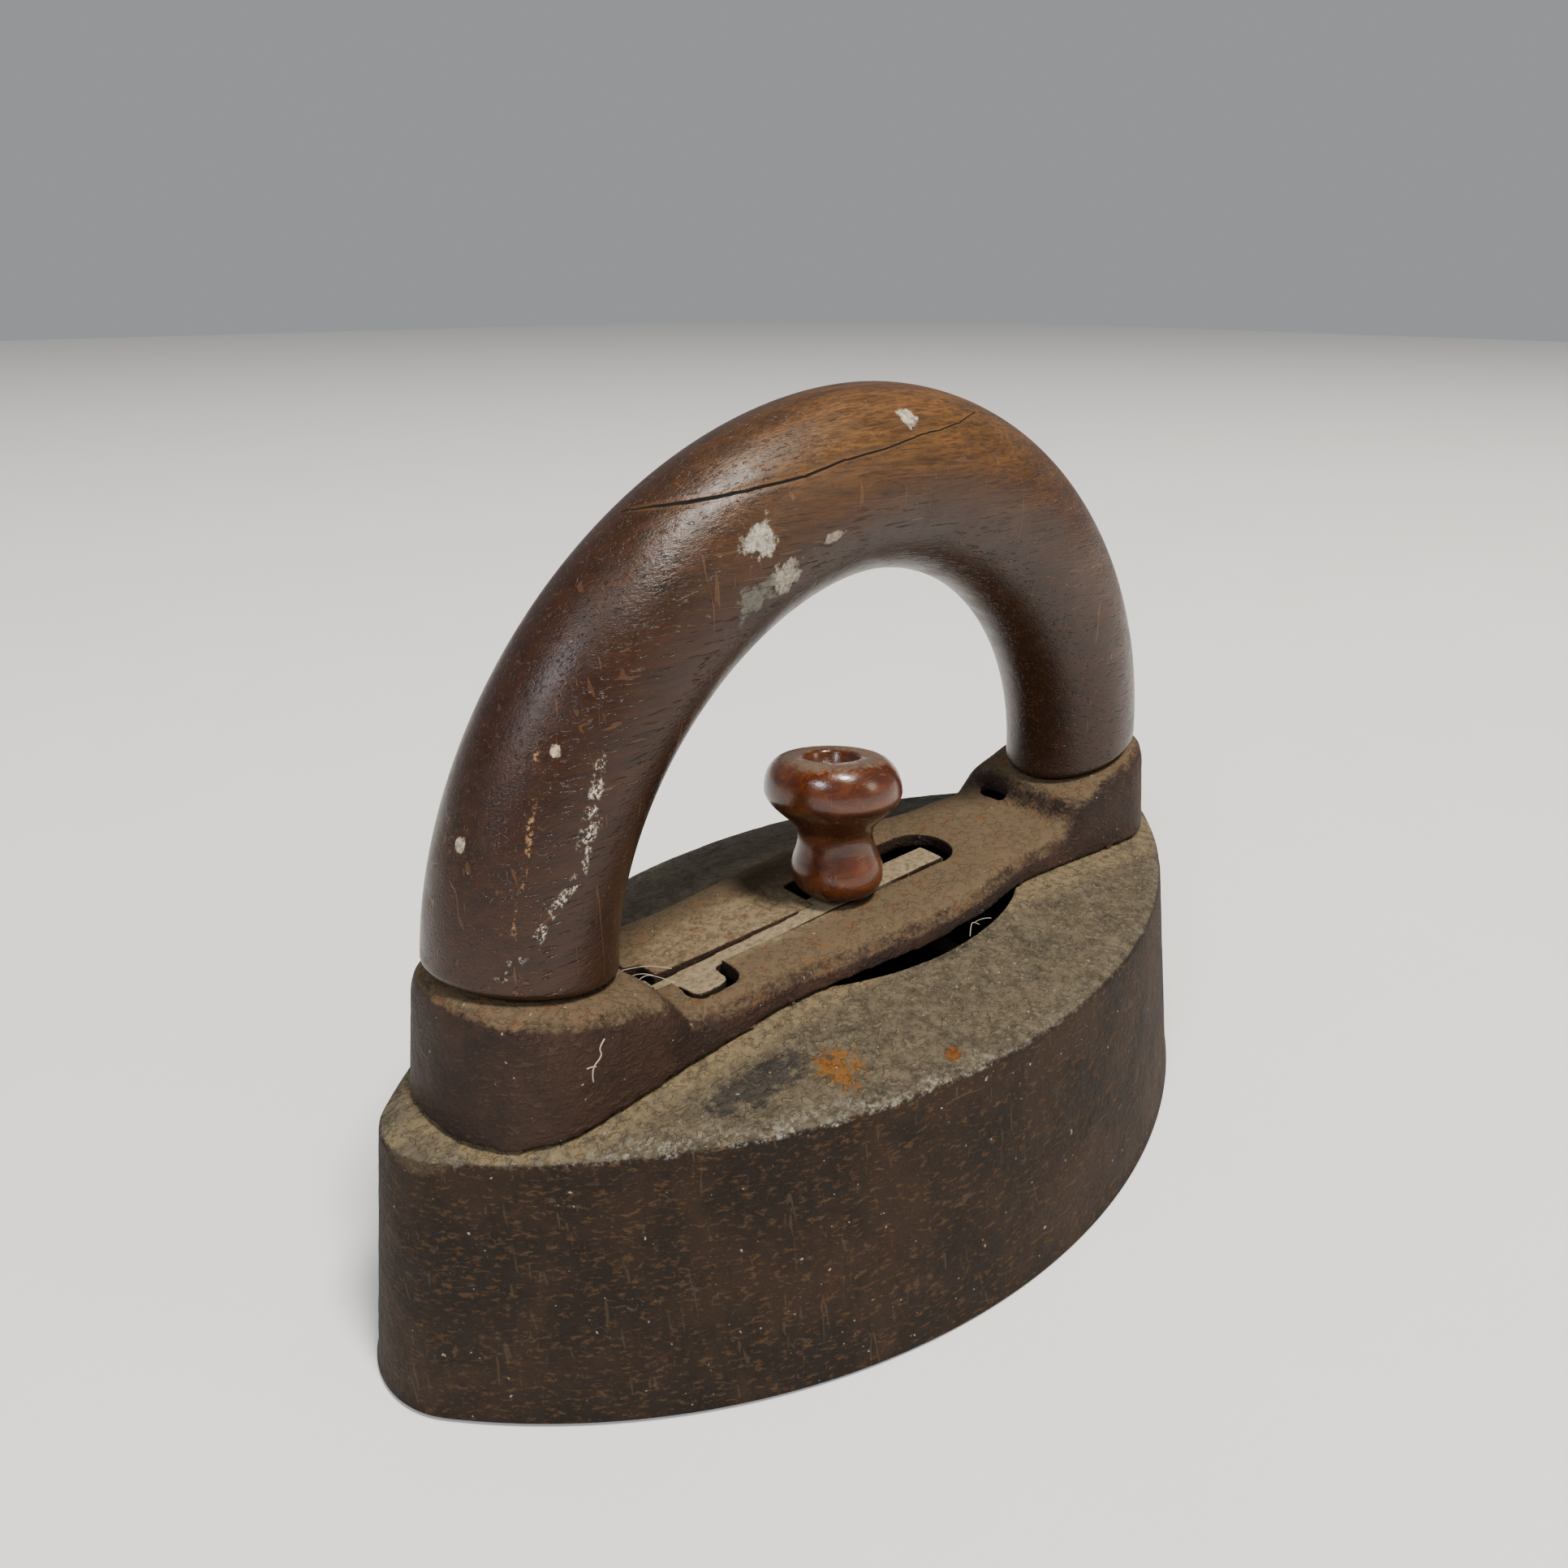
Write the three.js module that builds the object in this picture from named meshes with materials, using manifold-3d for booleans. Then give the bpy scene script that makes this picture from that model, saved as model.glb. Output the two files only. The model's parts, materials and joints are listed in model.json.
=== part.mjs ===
// Double-pointed sad iron with a lift-off wooden handle.
// Millimetres, +Z up, +X along the sole; the origin is the middle of the sole.
// The cast slug is heated on a stove. The handle hooks onto two bars in its pocket, and a latch lever,
// lifted by the knob, keeps it from sliding off.
import * as THREE from 'three';
import { mergeVertices } from 'three/addons/utils/BufferGeometryUtils.js';
import { ParametricGeometry } from 'three/addons/geometries/ParametricGeometry.js';
import Module from 'manifold-3d';

// ---- slug ----
const sole_length = 160;
const sole_width = 87.5;
const sole_tip_radius = 14;
const sole_chamfer = 0.8;
const wall_height = 36.6;
const end_draft = 4.9;
const side_draft = 6.3;
const top_tip_radius = 10;
const edge_chamfer = 0.4;
const roof_slope = 0.18;
const roof_run = 20.5;
const pocket_length = 60;
const pocket_width = 37.4;
const pocket_shift = 3;
const pocket_floor = 23;

// ---- catch bars in the pocket ----
const bar_radius = 2.2;
const bar_height = 31;
const front_bar_x = 12.6;
const rear_bar_x = -10;
const bar_socket_depth = 4;

// ---- saddle ----
const saddle_length = 141;
const saddle_width = 30;
const saddle_belly = 2.6;
const saddle_belly_reach = 26;
const saddle_end_run = 15.6;
const saddle_end_power = 2.25;
const saddle_wall = 3.2;
const saddle_top_wall = 2.8;
const saddle_draft = 0.12;
const saddle_rise = 4.6;
const saddle_ramp_start = 39.2;
const saddle_ramp_end = 43.6;
const shoulder_middle = 5;
const shoulder_cup = 4.4;

// ---- wooden grip ----
const grip_span = 110.8;
const grip_rise = 54.5;
const grip_centre_height = 50.3;
const grip_power = 1.92;
const grip_depth = 24.5;
const grip_thickness = 20.9;
const seat_height = 52.3;
const seat_tilt_degrees = 15.3;

// ---- grip screws and their washers ----
const screw_radius = 2.3;
const screw_length = 33;
const screw_head_radius = 4.2;
const screw_head_height = 2.6;
const screw_slot_width = 1.1;
const screw_slot_depth = 1.2;
const washer_radius = 6;
const washer_thickness = 1.2;

// ---- fixed hooks and their rivets ----
const hook_thickness = 2;
const hook_width = 18;
const hook_nose_height = 1.9;
const hook_lug_thickness = 3;
const hook_lug_depth = 8;
const rivet_radius = 1.6;
const rivet_head_radius = 2.7;
const rivet_head_height = 1.1;
const rivet_spread = 6;

// ---- latch lever, its pin and its spring ----
const lever_width = 4.8;
const lever_y = -2.4;
const lever_thickness = 1.6;
const lever_slope_degrees = -1;
const lever_seat_height = 44.2;
const arm_width = 2.6;
const arm_y = -3.5;
const arm_front_x = -12;
const lever_side_gap = 0.4;
const lever_tail = 1.7;
const tooth_thickness = 1.8;
const tooth_reach = 0.8;
const lobe_x = -32.8;
const lobe_length = 6.4;
const lobe_reach = 9;
const lobe_corner = 1.8;
const pivot_x = -41.2;
const pivot_height = 42.6;
const pivot_radius = 1.05;
const eye_radius = 1.95;
const ear_thickness = 2.4;
const ear_drop = 1.9;
const spring_wire = 0.7;
const spring_turns = 3;
const spring_leg_degrees = 45;
const spring_pitch = 0.86;
const spring_leg = 3.6;

// ---- slots in the saddle ----
const slot_end_gap = 4.2;
const slot_far_y = 5;
const lobe_gap = 0.8;
const slit_width = 5;
const slit_length = 1.6;
const slit_from_grip = 1.8;
const slit_y = 5;

// ---- knob and what holds it ----
const knob_x = -3;
const knob_height = 19.2;
const knob_base_radius = 6.9;
const knob_neck_radius = 5.45;
const knob_head_radius = 10.15;
const knob_top_radius = 6.2;
const knob_bore_radius = 3.9;
const knob_bore_depth = 3.6;
const knob_screw_radius = 1.4;
const knob_screw_head_radius = 3.2;
const knob_screw_head_height = 2;
const knob_screw_overhang = 0.9;
const knob_washer_radius = 2.3;
const knob_washer_thickness = 1.5;
const nut_radius = lever_width / 2;
const nut_height = 2.4;

// ---- clearances ----
const rest_gap = 0.3;
const part_gap = 0.15;
const bore_gap = 0.15;
const hook_gap = 0.4;

// ---- derived places ----
const roof_rise = roof_slope * roof_run;
const plateau_height = wall_height + roof_rise;
const seat_x = grip_span / 2;
const seat_tilt = THREE.MathUtils.degToRad(seat_tilt_degrees);
const seat_slope = Math.tan(seat_tilt);
const saddle_top = plateau_height + saddle_rise;
const ceiling_height = saddle_top - saddle_top_wall;
const saddle_foot = wall_height - 2;
const lever_tilt = THREE.MathUtils.degToRad(lever_slope_degrees);
const lever_slope = Math.tan(lever_tilt);
const tooth_x = front_bar_x + bar_radius + hook_gap;
const lever_end_x = tooth_x + tooth_thickness;
const slot_near_y = lever_y - lever_width / 2 - lever_side_gap;
const slot_half = (slot_far_y - slot_near_y) / 2;
const slot_y = (slot_far_y + slot_near_y) / 2;
const slot_step_x = arm_front_x - lever_side_gap;
const slot_front_x = lever_end_x + slot_end_gap;
const wood_inner_x = seat_x - grip_depth / 2 * Math.cos(seat_tilt);
const slot_rear_x = -wood_inner_x + rest_gap;
const lever_rear_x = pivot_x - lever_tail;
const spring_radius = pivot_radius + bore_gap + spring_wire / 2 + part_gap;
const arm_near_y = arm_y - arm_width / 2;
const arm_far_y = arm_y + arm_width / 2;
const spring_inner_y = arm_far_y + spring_wire / 2 + part_gap + 0.1;
const spring_coils = spring_turns - spring_leg_degrees / 360;
const spring_outer_y = spring_inner_y + spring_pitch * spring_coils;
const near_ear_y = arm_near_y - 1;
const spring_notch_y = spring_outer_y + spring_wire / 2 + rest_gap;
const far_ear_y = spring_notch_y;
const knob_foot = lever_seat_height + part_gap + knob_washer_thickness + part_gap;
const round_steps = 20;
const pocket_steps = 24;

const wasm = await Module();
wasm.setup();

// ---- joining and cutting ----
function toSolid(geometry) {
  const bare = geometry.clone();
  bare.deleteAttribute('normal');
  bare.deleteAttribute('uv');
  const merged = mergeVertices(bare, 1e-4);
  const corners = merged.getIndex().array;
  const kept = [];
  for (let i = 0; i < corners.length; i += 3) {
    const [a, b, c] = [corners[i], corners[i + 1], corners[i + 2]];
    if (a !== b && b !== c && c !== a) {
      kept.push(a, b, c);
    }
  }
  const mesh = new wasm.Mesh({
    numProp: 3,
    vertProperties: new Float32Array(merged.getAttribute('position').array),
    triVerts: new Uint32Array(kept),
  });
  return new wasm.Manifold(mesh);
}

function toGeometry(solid) {
  const mesh = solid.getMesh();
  const geometry = new THREE.BufferGeometry();
  geometry.setAttribute('position', new THREE.BufferAttribute(new Float32Array(mesh.vertProperties), 3));
  geometry.setIndex(new THREE.BufferAttribute(new Uint32Array(mesh.triVerts), 1));
  geometry.computeVertexNormals();
  return geometry;
}

function cut(geometry, cutters) {
  let solid = toSolid(geometry);
  for (const cutter of cutters) {
    solid = solid.subtract(toSolid(cutter));
  }
  return toGeometry(solid);
}

function join(geometries) {
  let solid = toSolid(geometries[0]);
  for (const geometry of geometries.slice(1)) {
    solid = solid.add(toSolid(geometry));
  }
  return toGeometry(solid);
}

// ---- simple shapes ----
function box(x0, x1, y0, y1, z0, z1) {
  const geometry = new THREE.BoxGeometry(x1 - x0, y1 - y0, z1 - z0);
  return geometry.translate((x0 + x1) / 2, (y0 + y1) / 2, (z0 + z1) / 2);
}

// A cylinder along Y from y0 to y1.
function rodY(radius, x, z, y0, y1, sides = round_steps) {
  const geometry = new THREE.CylinderGeometry(radius, radius, y1 - y0, sides);
  return geometry.translate(x, (y0 + y1) / 2, z);
}

// A turned shape standing on Z, from [radius, height] pairs that close on the axis or on themselves.
function turned(pairs, sides = round_steps) {
  const points = pairs.map(([radius, height]) => new THREE.Vector2(radius, height));
  return new THREE.LatheGeometry(points, sides).rotateX(Math.PI / 2);
}

// An outline in X and Z pushed out along Y, centred on y = 0.
function slabY(shape, width) {
  const geometry = new THREE.ExtrudeGeometry(shape, { depth: width, bevelEnabled: false });
  return geometry.rotateX(Math.PI / 2).translate(0, width / 2, 0);
}

// An outline in X and Y pushed up from z0 to z1.
function slabZ(shape, z0, z1, curve_steps = 8) {
  const options = { depth: z1 - z0, bevelEnabled: false, curveSegments: curve_steps };
  const geometry = new THREE.ExtrudeGeometry(shape, options);
  return geometry.translate(0, 0, z0);
}

function polygon(pairs) {
  return new THREE.Shape(pairs.map(([x, y]) => new THREE.Vector2(x, y)));
}

// A closed skin through rings: ringPoint(u, ring) gives the point at u (0 to 1, anticlockwise seen from the
// last ring) of each ring. The first and last rings collapse onto a point or a line.
function skin(ringPoint, sides, rings) {
  const last = rings.length - 1;
  const place = (u, v, target) => {
    const [x, y, z] = ringPoint(u === 1 ? 0 : u, rings[Math.round(v * last)]);
    target.set(x, y, z);
  };
  return new ParametricGeometry(place, sides, last);
}

// ---- slug ----
// A pointed oval made of two large side arcs and two tip arcs, moved inwards by inset.
function pointedOval(length, width, tip, inset, u) {
  const core_x = length / 2 - tip;
  const core_y = width / 2 - tip;
  const core_radius = (core_x ** 2 + core_y ** 2) / (2 * core_y);
  const side_centre = core_radius - core_y;
  const side_radius = core_radius + tip - inset;
  const tip_radius = Math.max(tip - inset, 0);
  const tip_x = tip > inset ? core_x : Math.sqrt(side_radius ** 2 - side_centre ** 2);
  const angle = 2 * Math.PI * u;
  const side_limit = Math.atan2(side_centre, tip_x);
  const c = Math.cos(angle);
  const s = Math.sin(angle);
  if (Math.abs(s) > Math.sin(side_limit)) {
    return [side_radius * c, side_radius * s - Math.sign(s) * side_centre];
  }
  return [Math.sign(c) * tip_x + tip_radius * c, tip_radius * s];
}

const sole_outline = [sole_length, sole_width, sole_tip_radius];
const top_outline = [sole_length - 2 * end_draft, sole_width - 2 * side_draft, top_tip_radius];

function slugPoint(u, [outline, inset, z]) {
  if (outline === null) {
    return [0, 0, z];
  }
  const [x, y] = pointedOval(...outline, inset, u);
  return [x, y, z];
}

// The whole casting without its pocket; lift raises it, to cut what rests on it.
function slugSolid(lift) {
  return skin(slugPoint, 88, [
    [null, 0, 0],
    [sole_outline, sole_chamfer, 0],
    [sole_outline, 0, sole_chamfer],
    [top_outline, 0, wall_height - edge_chamfer + lift],
    [top_outline, edge_chamfer, wall_height + roof_slope * edge_chamfer + lift],
    [top_outline, roof_run / 2, wall_height + roof_rise / 2 + lift],
    [top_outline, roof_run, plateau_height + lift],
    [null, 0, plateau_height + lift],
  ]);
}

function pocketHalfWidth(x) {
  return pocket_width / 2 * Math.sqrt(1 - ((x - pocket_shift) / (pocket_length / 2)) ** 2);
}

function slug() {
  const mouth = new THREE.Shape();
  mouth.absellipse(pocket_shift, 0, pocket_length / 2, pocket_width / 2, 0, 2 * Math.PI);
  const cutters = [slabZ(mouth, pocket_floor, plateau_height + 1, pocket_steps)];
  for (const x of [front_bar_x, rear_bar_x]) {
    const reach = pocketHalfWidth(x) + bar_socket_depth;
    cutters.push(rodY(bar_radius + bore_gap, x, bar_height, -reach, reach));
  }
  return cut(slugSolid(0), cutters);
}

function catchBar(x) {
  const reach = pocketHalfWidth(x) + bar_socket_depth - rest_gap;
  return rodY(bar_radius, x, bar_height, -reach, reach);
}

// ---- saddle ----
function seatPlane(x) {
  return seat_height + (Math.abs(x) - seat_x) * seat_slope;
}

// Height of the saddle's top along its length: level, then a ramp that runs into the tilted seats.
function saddleTop(x) {
  const reach = Math.abs(x);
  const ramp = saddle_ramp_end - saddle_ramp_start;
  const t = (reach - saddle_ramp_start) / ramp;
  if (t <= 0) {
    return saddle_top;
  }
  if (t >= 1) {
    return seatPlane(x);
  }
  const ease = t * t * (3 - 2 * t);
  const lean = (t ** 3 - t ** 2) * ramp * seat_slope;
  return saddle_top * (1 - ease) + seatPlane(saddle_ramp_end) * ease + lean;
}

// Where along a side a step of the skin falls; share runs from -1 to 1 and the steps crowd on the ramps.
function saddleStation(share, side_x) {
  const reach = Math.abs(share) * 12;
  const stations = [[0, 0], [3, saddle_ramp_start], [9, saddle_ramp_end], [12, side_x]];
  const i = reach <= 3 ? 0 : reach <= 9 ? 1 : 2;
  const [[a, x0], [b, x1]] = [stations[i], stations[i + 1]];
  return Math.sign(share) * THREE.MathUtils.mapLinear(reach, a, b, x0, x1);
}

// Plan of the saddle moved inwards by inset: bellied sides and blunt rounded ends.
function saddlePlan(u, inset) {
  const side_x = saddle_length / 2 - saddle_end_run;
  const half = saddle_width / 2 - inset;
  const quarter = Math.floor(u * 4 + 1e-9);
  const t = u * 4 - quarter;
  if (quarter % 2 === 0) {
    const side = quarter === 0 ? 1 : -1;
    const x = side * saddleStation(1 - 2 * t, side_x);
    const belly = saddle_belly * Math.max(1 - (x / saddle_belly_reach) ** 2, 0) ** 2;
    return [x, side * Math.max(half + (half > 0 ? belly : 0), 0)];
  }
  const end = quarter === 1 ? -1 : 1;
  const angle = Math.PI / 2 * (1 - 2 * t);
  const power = 2 / saddle_end_power;
  const run = Math.max(saddle_end_run - inset, 0);
  const x = end * (side_x + run * Math.abs(Math.cos(angle)) ** power);
  const y = -end * half * Math.sign(Math.sin(angle)) * Math.abs(Math.sin(angle)) ** power;
  return [x, y];
}

function shoulderRadius(x, trim) {
  const t = THREE.MathUtils.smoothstep(Math.abs(x), saddle_ramp_start, saddle_ramp_end);
  return Math.max(THREE.MathUtils.lerp(shoulder_middle, shoulder_cup, t) - trim, 0.4);
}

// One point of a saddle-shaped skin. Rings go from the foot's spine, up the wall, over the shoulder and
// across the top to the top's spine.
function saddlePoint(u, [kind, turn, trim, drop]) {
  if (kind === 'foot spine' || kind === 'top spine') {
    const [x, y] = saddlePlan(u, saddle_width / 2);
    return [x, y, kind === 'top spine' ? saddleTop(x) - drop : saddle_foot - trim];
  }
  const [foot_x, foot_y] = saddlePlan(u, trim);
  if (kind === 'foot') {
    return [foot_x, foot_y, saddle_foot - trim];
  }
  const radius = shoulderRadius(foot_x, trim);
  const wall = saddle_draft * (saddleTop(foot_x) - drop - radius - saddle_foot);
  const inset = trim + wall + radius * (1 - Math.cos(turn));
  const [x, y] = saddlePlan(u, inset);
  return [x, y, saddleTop(x) - drop - radius * (1 - Math.sin(turn))];
}

function saddleSkin(trim, drop, arc_steps) {
  const rings = [['foot spine', 0, trim, drop], ['foot', 0, trim, drop]];
  for (let i = 0; i <= arc_steps; i++) {
    rings.push(['shoulder', Math.PI / 2 * i / arc_steps, trim, drop]);
  }
  rings.push(['top spine', 0, trim, drop]);
  return skin(saddlePoint, 96, rings);
}

// Wide in front for the lever's plate, narrow behind for its arm, with a notch beside the pivot for the spring.
function slotShape() {
  const far = arm_far_y + lever_side_gap;
  const notch_x = pivot_x + 2 * spring_radius;
  const shape = new THREE.Shape();
  shape.moveTo(slot_rear_x, slot_near_y);
  shape.lineTo(slot_front_x - slot_half, slot_near_y);
  shape.absarc(slot_front_x - slot_half, slot_y, slot_half, -Math.PI / 2, Math.PI / 2, false);
  shape.lineTo(slot_step_x, slot_far_y);
  shape.lineTo(slot_step_x, far);
  shape.lineTo(notch_x, far);
  shape.lineTo(notch_x, spring_notch_y);
  shape.lineTo(slot_rear_x, spring_notch_y);
  shape.closePath();
  return shape;
}

// The rounded lobe on the lever's near side, grown by gap.
function lobeShape(gap) {
  const x0 = lobe_x - lobe_length / 2 - gap;
  const x1 = lobe_x + lobe_length / 2 + gap;
  const y0 = -lobe_reach - gap;
  const corner = lobe_corner + gap;
  const shape = new THREE.Shape();
  shape.moveTo(x0, arm_y);
  shape.lineTo(x0, y0 + corner);
  shape.quadraticCurveTo(x0, y0, x0 + corner, y0);
  shape.lineTo(x1 - corner, y0);
  shape.quadraticCurveTo(x1, y0, x1, y0 + corner);
  shape.lineTo(x1, arm_y);
  shape.closePath();
  return shape;
}

function pivotEar(y0, y1) {
  const foot = pivot_height - ear_drop;
  const top = saddleTop(pivot_x) - saddle_top_wall + 0.6;
  return box(pivot_x - eye_radius, pivot_x + eye_radius, y0, y1, foot, top);
}

function hookLug(x1) {
  const x0 = x1 - hook_lug_thickness;
  return box(x0, x1, -hook_width / 2, hook_width / 2, ceiling_height - hook_lug_depth, ceiling_height + 0.5);
}

function rivetHeight() {
  return ceiling_height - hook_lug_depth / 2 - 0.4;
}

function saddle() {
  const cutter_top = seat_height + grip_depth;
  const shell = cut(saddleSkin(0, 0, 3), [
    saddleSkin(saddle_wall, saddle_top_wall, 2),
    box(
      wood_inner_x - slit_from_grip - slit_length, wood_inner_x - slit_from_grip,
      slit_y - slit_width / 2, slit_y + slit_width / 2, ceiling_height - 2, cutter_top,
    ),
  ]);
  const cast = join([
    shell,
    pivotEar(near_ear_y - ear_thickness, near_ear_y),
    pivotEar(far_ear_y, far_ear_y + ear_thickness),
    hookLug(hookPlateX(front_bar_x) - part_gap),
    hookLug(hookPlateX(rear_bar_x) - part_gap),
  ]);
  const slot_foot = Math.min(leverFoot(lever_rear_x), leverFoot(lever_end_x)) - rest_gap;
  const pin_near = near_ear_y - ear_thickness - 1;
  const pin_far = far_ear_y + ear_thickness + 1;
  const bores = [
    slugSolid(rest_gap),
    slabZ(slotShape(), slot_foot, cutter_top),
    slabZ(lobeShape(lobe_gap), slot_foot, cutter_top),
    rodY(pivot_radius + bore_gap, pivot_x, pivot_height, pin_near, pin_far),
  ];
  for (const side of [-1, 1]) {
    const bore = new THREE.CylinderGeometry(screw_radius + bore_gap, screw_radius + bore_gap, 20, round_steps);
    bore.rotateX(Math.PI / 2).rotateY(-side * seat_tilt).translate(side * seat_x, 0, seat_height);
    bores.push(bore);
  }
  for (const bar_x of [front_bar_x, rear_bar_x]) {
    for (const side of [-1, 1]) {
      bores.push(rivetBore(bar_x, side));
    }
  }
  return cut(cast, bores);
}

// ---- wooden grip ----
// Centre line of the grip: a slightly squared half ellipse, run on straight down past the seats.
function gripCentre(t) {
  const c = Math.cos(t);
  const s = Math.sin(t);
  const power = 2 / grip_power;
  return [
    seat_x * Math.sign(c) * Math.abs(c) ** power,
    grip_centre_height + grip_rise * Math.sign(s) * Math.abs(s) ** power,
  ];
}

function gripPoint(u, [t, thick]) {
  const step = 0.004;
  const [x, z] = gripCentre(t);
  const [bx, bz] = gripCentre(t + step);
  const [ax, az] = gripCentre(t - step);
  const length = Math.hypot(ax - bx, az - bz);
  const along_x = (ax - bx) / length;
  const along_z = (az - bz) / length;
  const angle = 2 * Math.PI * u;
  const across = thick * grip_thickness / 2 * Math.cos(angle);
  const out = thick * grip_depth / 2 * Math.sin(angle);
  return [x - along_z * out, across, z + along_x * out];
}

function grip() {
  const steps = 30;
  const start = Math.PI + 0.12;
  const end = -0.12;
  const rings = [[start, 0]];
  for (let i = 0; i <= steps; i++) {
    rings.push([start + (end - start) * i / steps, 1]);
  }
  rings.push([end, 0]);
  const cutters = [];
  for (const side of [-1, 1]) {
    const foot = new THREE.BoxGeometry(60, 60, 40);
    foot.translate(0, 0, part_gap - 20).rotateY(-side * seat_tilt).translate(side * seat_x, 0, seat_height);
    cutters.push(foot);
    const depth = screw_length - saddle_top_wall - washer_thickness;
    const bore = new THREE.CylinderGeometry(screw_radius + bore_gap, screw_radius + bore_gap, depth + 2, round_steps);
    bore.rotateX(Math.PI / 2).translate(0, 0, depth / 2);
    cutters.push(bore.rotateY(-side * seat_tilt).translate(side * seat_x, 0, seat_height));
  }
  return cut(skin(gripPoint, 28, rings), cutters);
}

// ---- grip screws: drawn with the seat at z = 0 and the tip upwards ----
function gripWasher() {
  const top = -saddle_top_wall * 1.1 - rest_gap;
  const bore = screw_radius + bore_gap;
  const foot = top - washer_thickness;
  return turned([[bore, foot], [washer_radius, foot], [washer_radius, top], [bore, top], [bore, foot]]);
}

function gripScrew() {
  const neck = -saddle_top_wall * 1.1 - rest_gap - washer_thickness - part_gap;
  const foot = neck - screw_head_height;
  const tip = foot + screw_length;
  const screw = turned([
    [0, foot],
    [screw_head_radius * 0.7, foot],
    [screw_head_radius, foot + screw_head_height * 0.55],
    [screw_head_radius, neck],
    [screw_radius, neck],
    [screw_radius, tip - 4 * screw_radius],
    [0, tip],
  ]);
  const half = screw_slot_width / 2;
  return cut(screw, [box(-2 * screw_head_radius, 2 * screw_head_radius, -half, half, foot - 1, foot + screw_slot_depth)]);
}

// ---- fixed hooks ----
// The plate stands far enough behind its bar for the nose to reach forward under it.
function hookPlateX(bar_x) {
  return bar_x - bar_radius - hook_gap - 2.5 - hook_thickness;
}

function hook(bar_x) {
  const x0 = hookPlateX(bar_x);
  const x1 = x0 + hook_thickness;
  const tip = bar_x - bar_radius - hook_gap;
  const nose_top = bar_height - bar_radius - rest_gap;
  const nose_foot = nose_top - hook_nose_height;
  const top = ceiling_height - rest_gap;
  const profile = polygon([
    [x0, nose_foot + 0.6], [x0 + 0.6, nose_foot], [tip - 0.8, nose_foot], [tip, nose_foot + 0.8],
    [tip, nose_top], [x1, nose_top], [x1, top], [x0, top],
  ]);
  return cut(slabY(profile, hook_width), [rivetBore(bar_x, -1), rivetBore(bar_x, 1)]);
}

function rivetBore(bar_x, side) {
  const bore = new THREE.CylinderGeometry(rivet_radius + bore_gap, rivet_radius + bore_gap, 14, round_steps);
  return bore.rotateZ(Math.PI / 2).translate(hookPlateX(bar_x), side * rivet_spread, rivetHeight());
}

// A rivet along X with a domed head on each end, drawn from the rear face of the lug.
function rivet() {
  const grip_length = hook_lug_thickness + part_gap + hook_thickness + 2 * part_gap;
  const dome = 0.65;
  const back = -rivet_head_height;
  const front = grip_length + rivet_head_height;
  const shape = turned([
    [0, back],
    [rivet_head_radius * dome, back],
    [rivet_head_radius, back * 0.4],
    [rivet_head_radius, 0],
    [rivet_radius, 0],
    [rivet_radius, grip_length],
    [rivet_head_radius, grip_length],
    [rivet_head_radius, front - rivet_head_height * 0.6],
    [rivet_head_radius * dome, front],
    [0, front],
  ], 14);
  return shape.rotateY(Math.PI / 2);
}

// ---- latch ----
function leverTop(x) {
  return lever_seat_height - (x - knob_x) * lever_slope;
}

function leverFoot(x) {
  return leverTop(x) - lever_thickness;
}

function lever() {
  const tooth_foot = bar_height - tooth_reach;
  const arm_end_x = arm_front_x + arm_width;
  const arm = polygon([
    [lever_rear_x, leverFoot(lever_rear_x)],
    [arm_end_x, leverFoot(arm_end_x)],
    [arm_end_x, leverTop(arm_end_x)],
    [lever_rear_x, leverTop(lever_rear_x)],
  ]);
  const plate = polygon([
    [arm_front_x, leverFoot(arm_front_x)],
    [tooth_x, leverFoot(tooth_x)],
    [tooth_x, tooth_foot],
    [tooth_x + tooth_thickness * 0.5, tooth_foot - 0.9],
    [lever_end_x, tooth_foot],
    [lever_end_x, leverTop(lever_end_x) - 0.8],
    [lever_end_x - 0.8, leverTop(lever_end_x - 0.8)],
    [arm_front_x, leverTop(arm_front_x)],
  ]);
  const lobe_top = Math.min(leverTop(lobe_x + lobe_length / 2), leverTop(lobe_x - lobe_length / 2));
  const blank = join([
    slabY(plate, lever_width).translate(0, lever_y, 0),
    slabY(arm, arm_width).translate(0, arm_y, 0),
    rodY(eye_radius, pivot_x, pivot_height, arm_near_y, arm_far_y),
    slabZ(lobeShape(0), lobe_top - lever_thickness, lobe_top),
  ]);
  const screw_bore = new THREE.CylinderGeometry(
    knob_screw_radius + bore_gap, knob_screw_radius + bore_gap, 8, round_steps,
  );
  screw_bore.rotateX(Math.PI / 2).rotateY(lever_tilt).translate(knob_x, lever_y, lever_seat_height);
  return cut(blank, [rodY(pivot_radius + bore_gap, pivot_x, pivot_height, -20, 20), screw_bore]);
}

function pivotPin() {
  const near = near_ear_y - ear_thickness - 0.5;
  const far = far_ear_y + ear_thickness + 0.5;
  return rodY(pivot_radius, 0, 0, near, far, 20);
}

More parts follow.
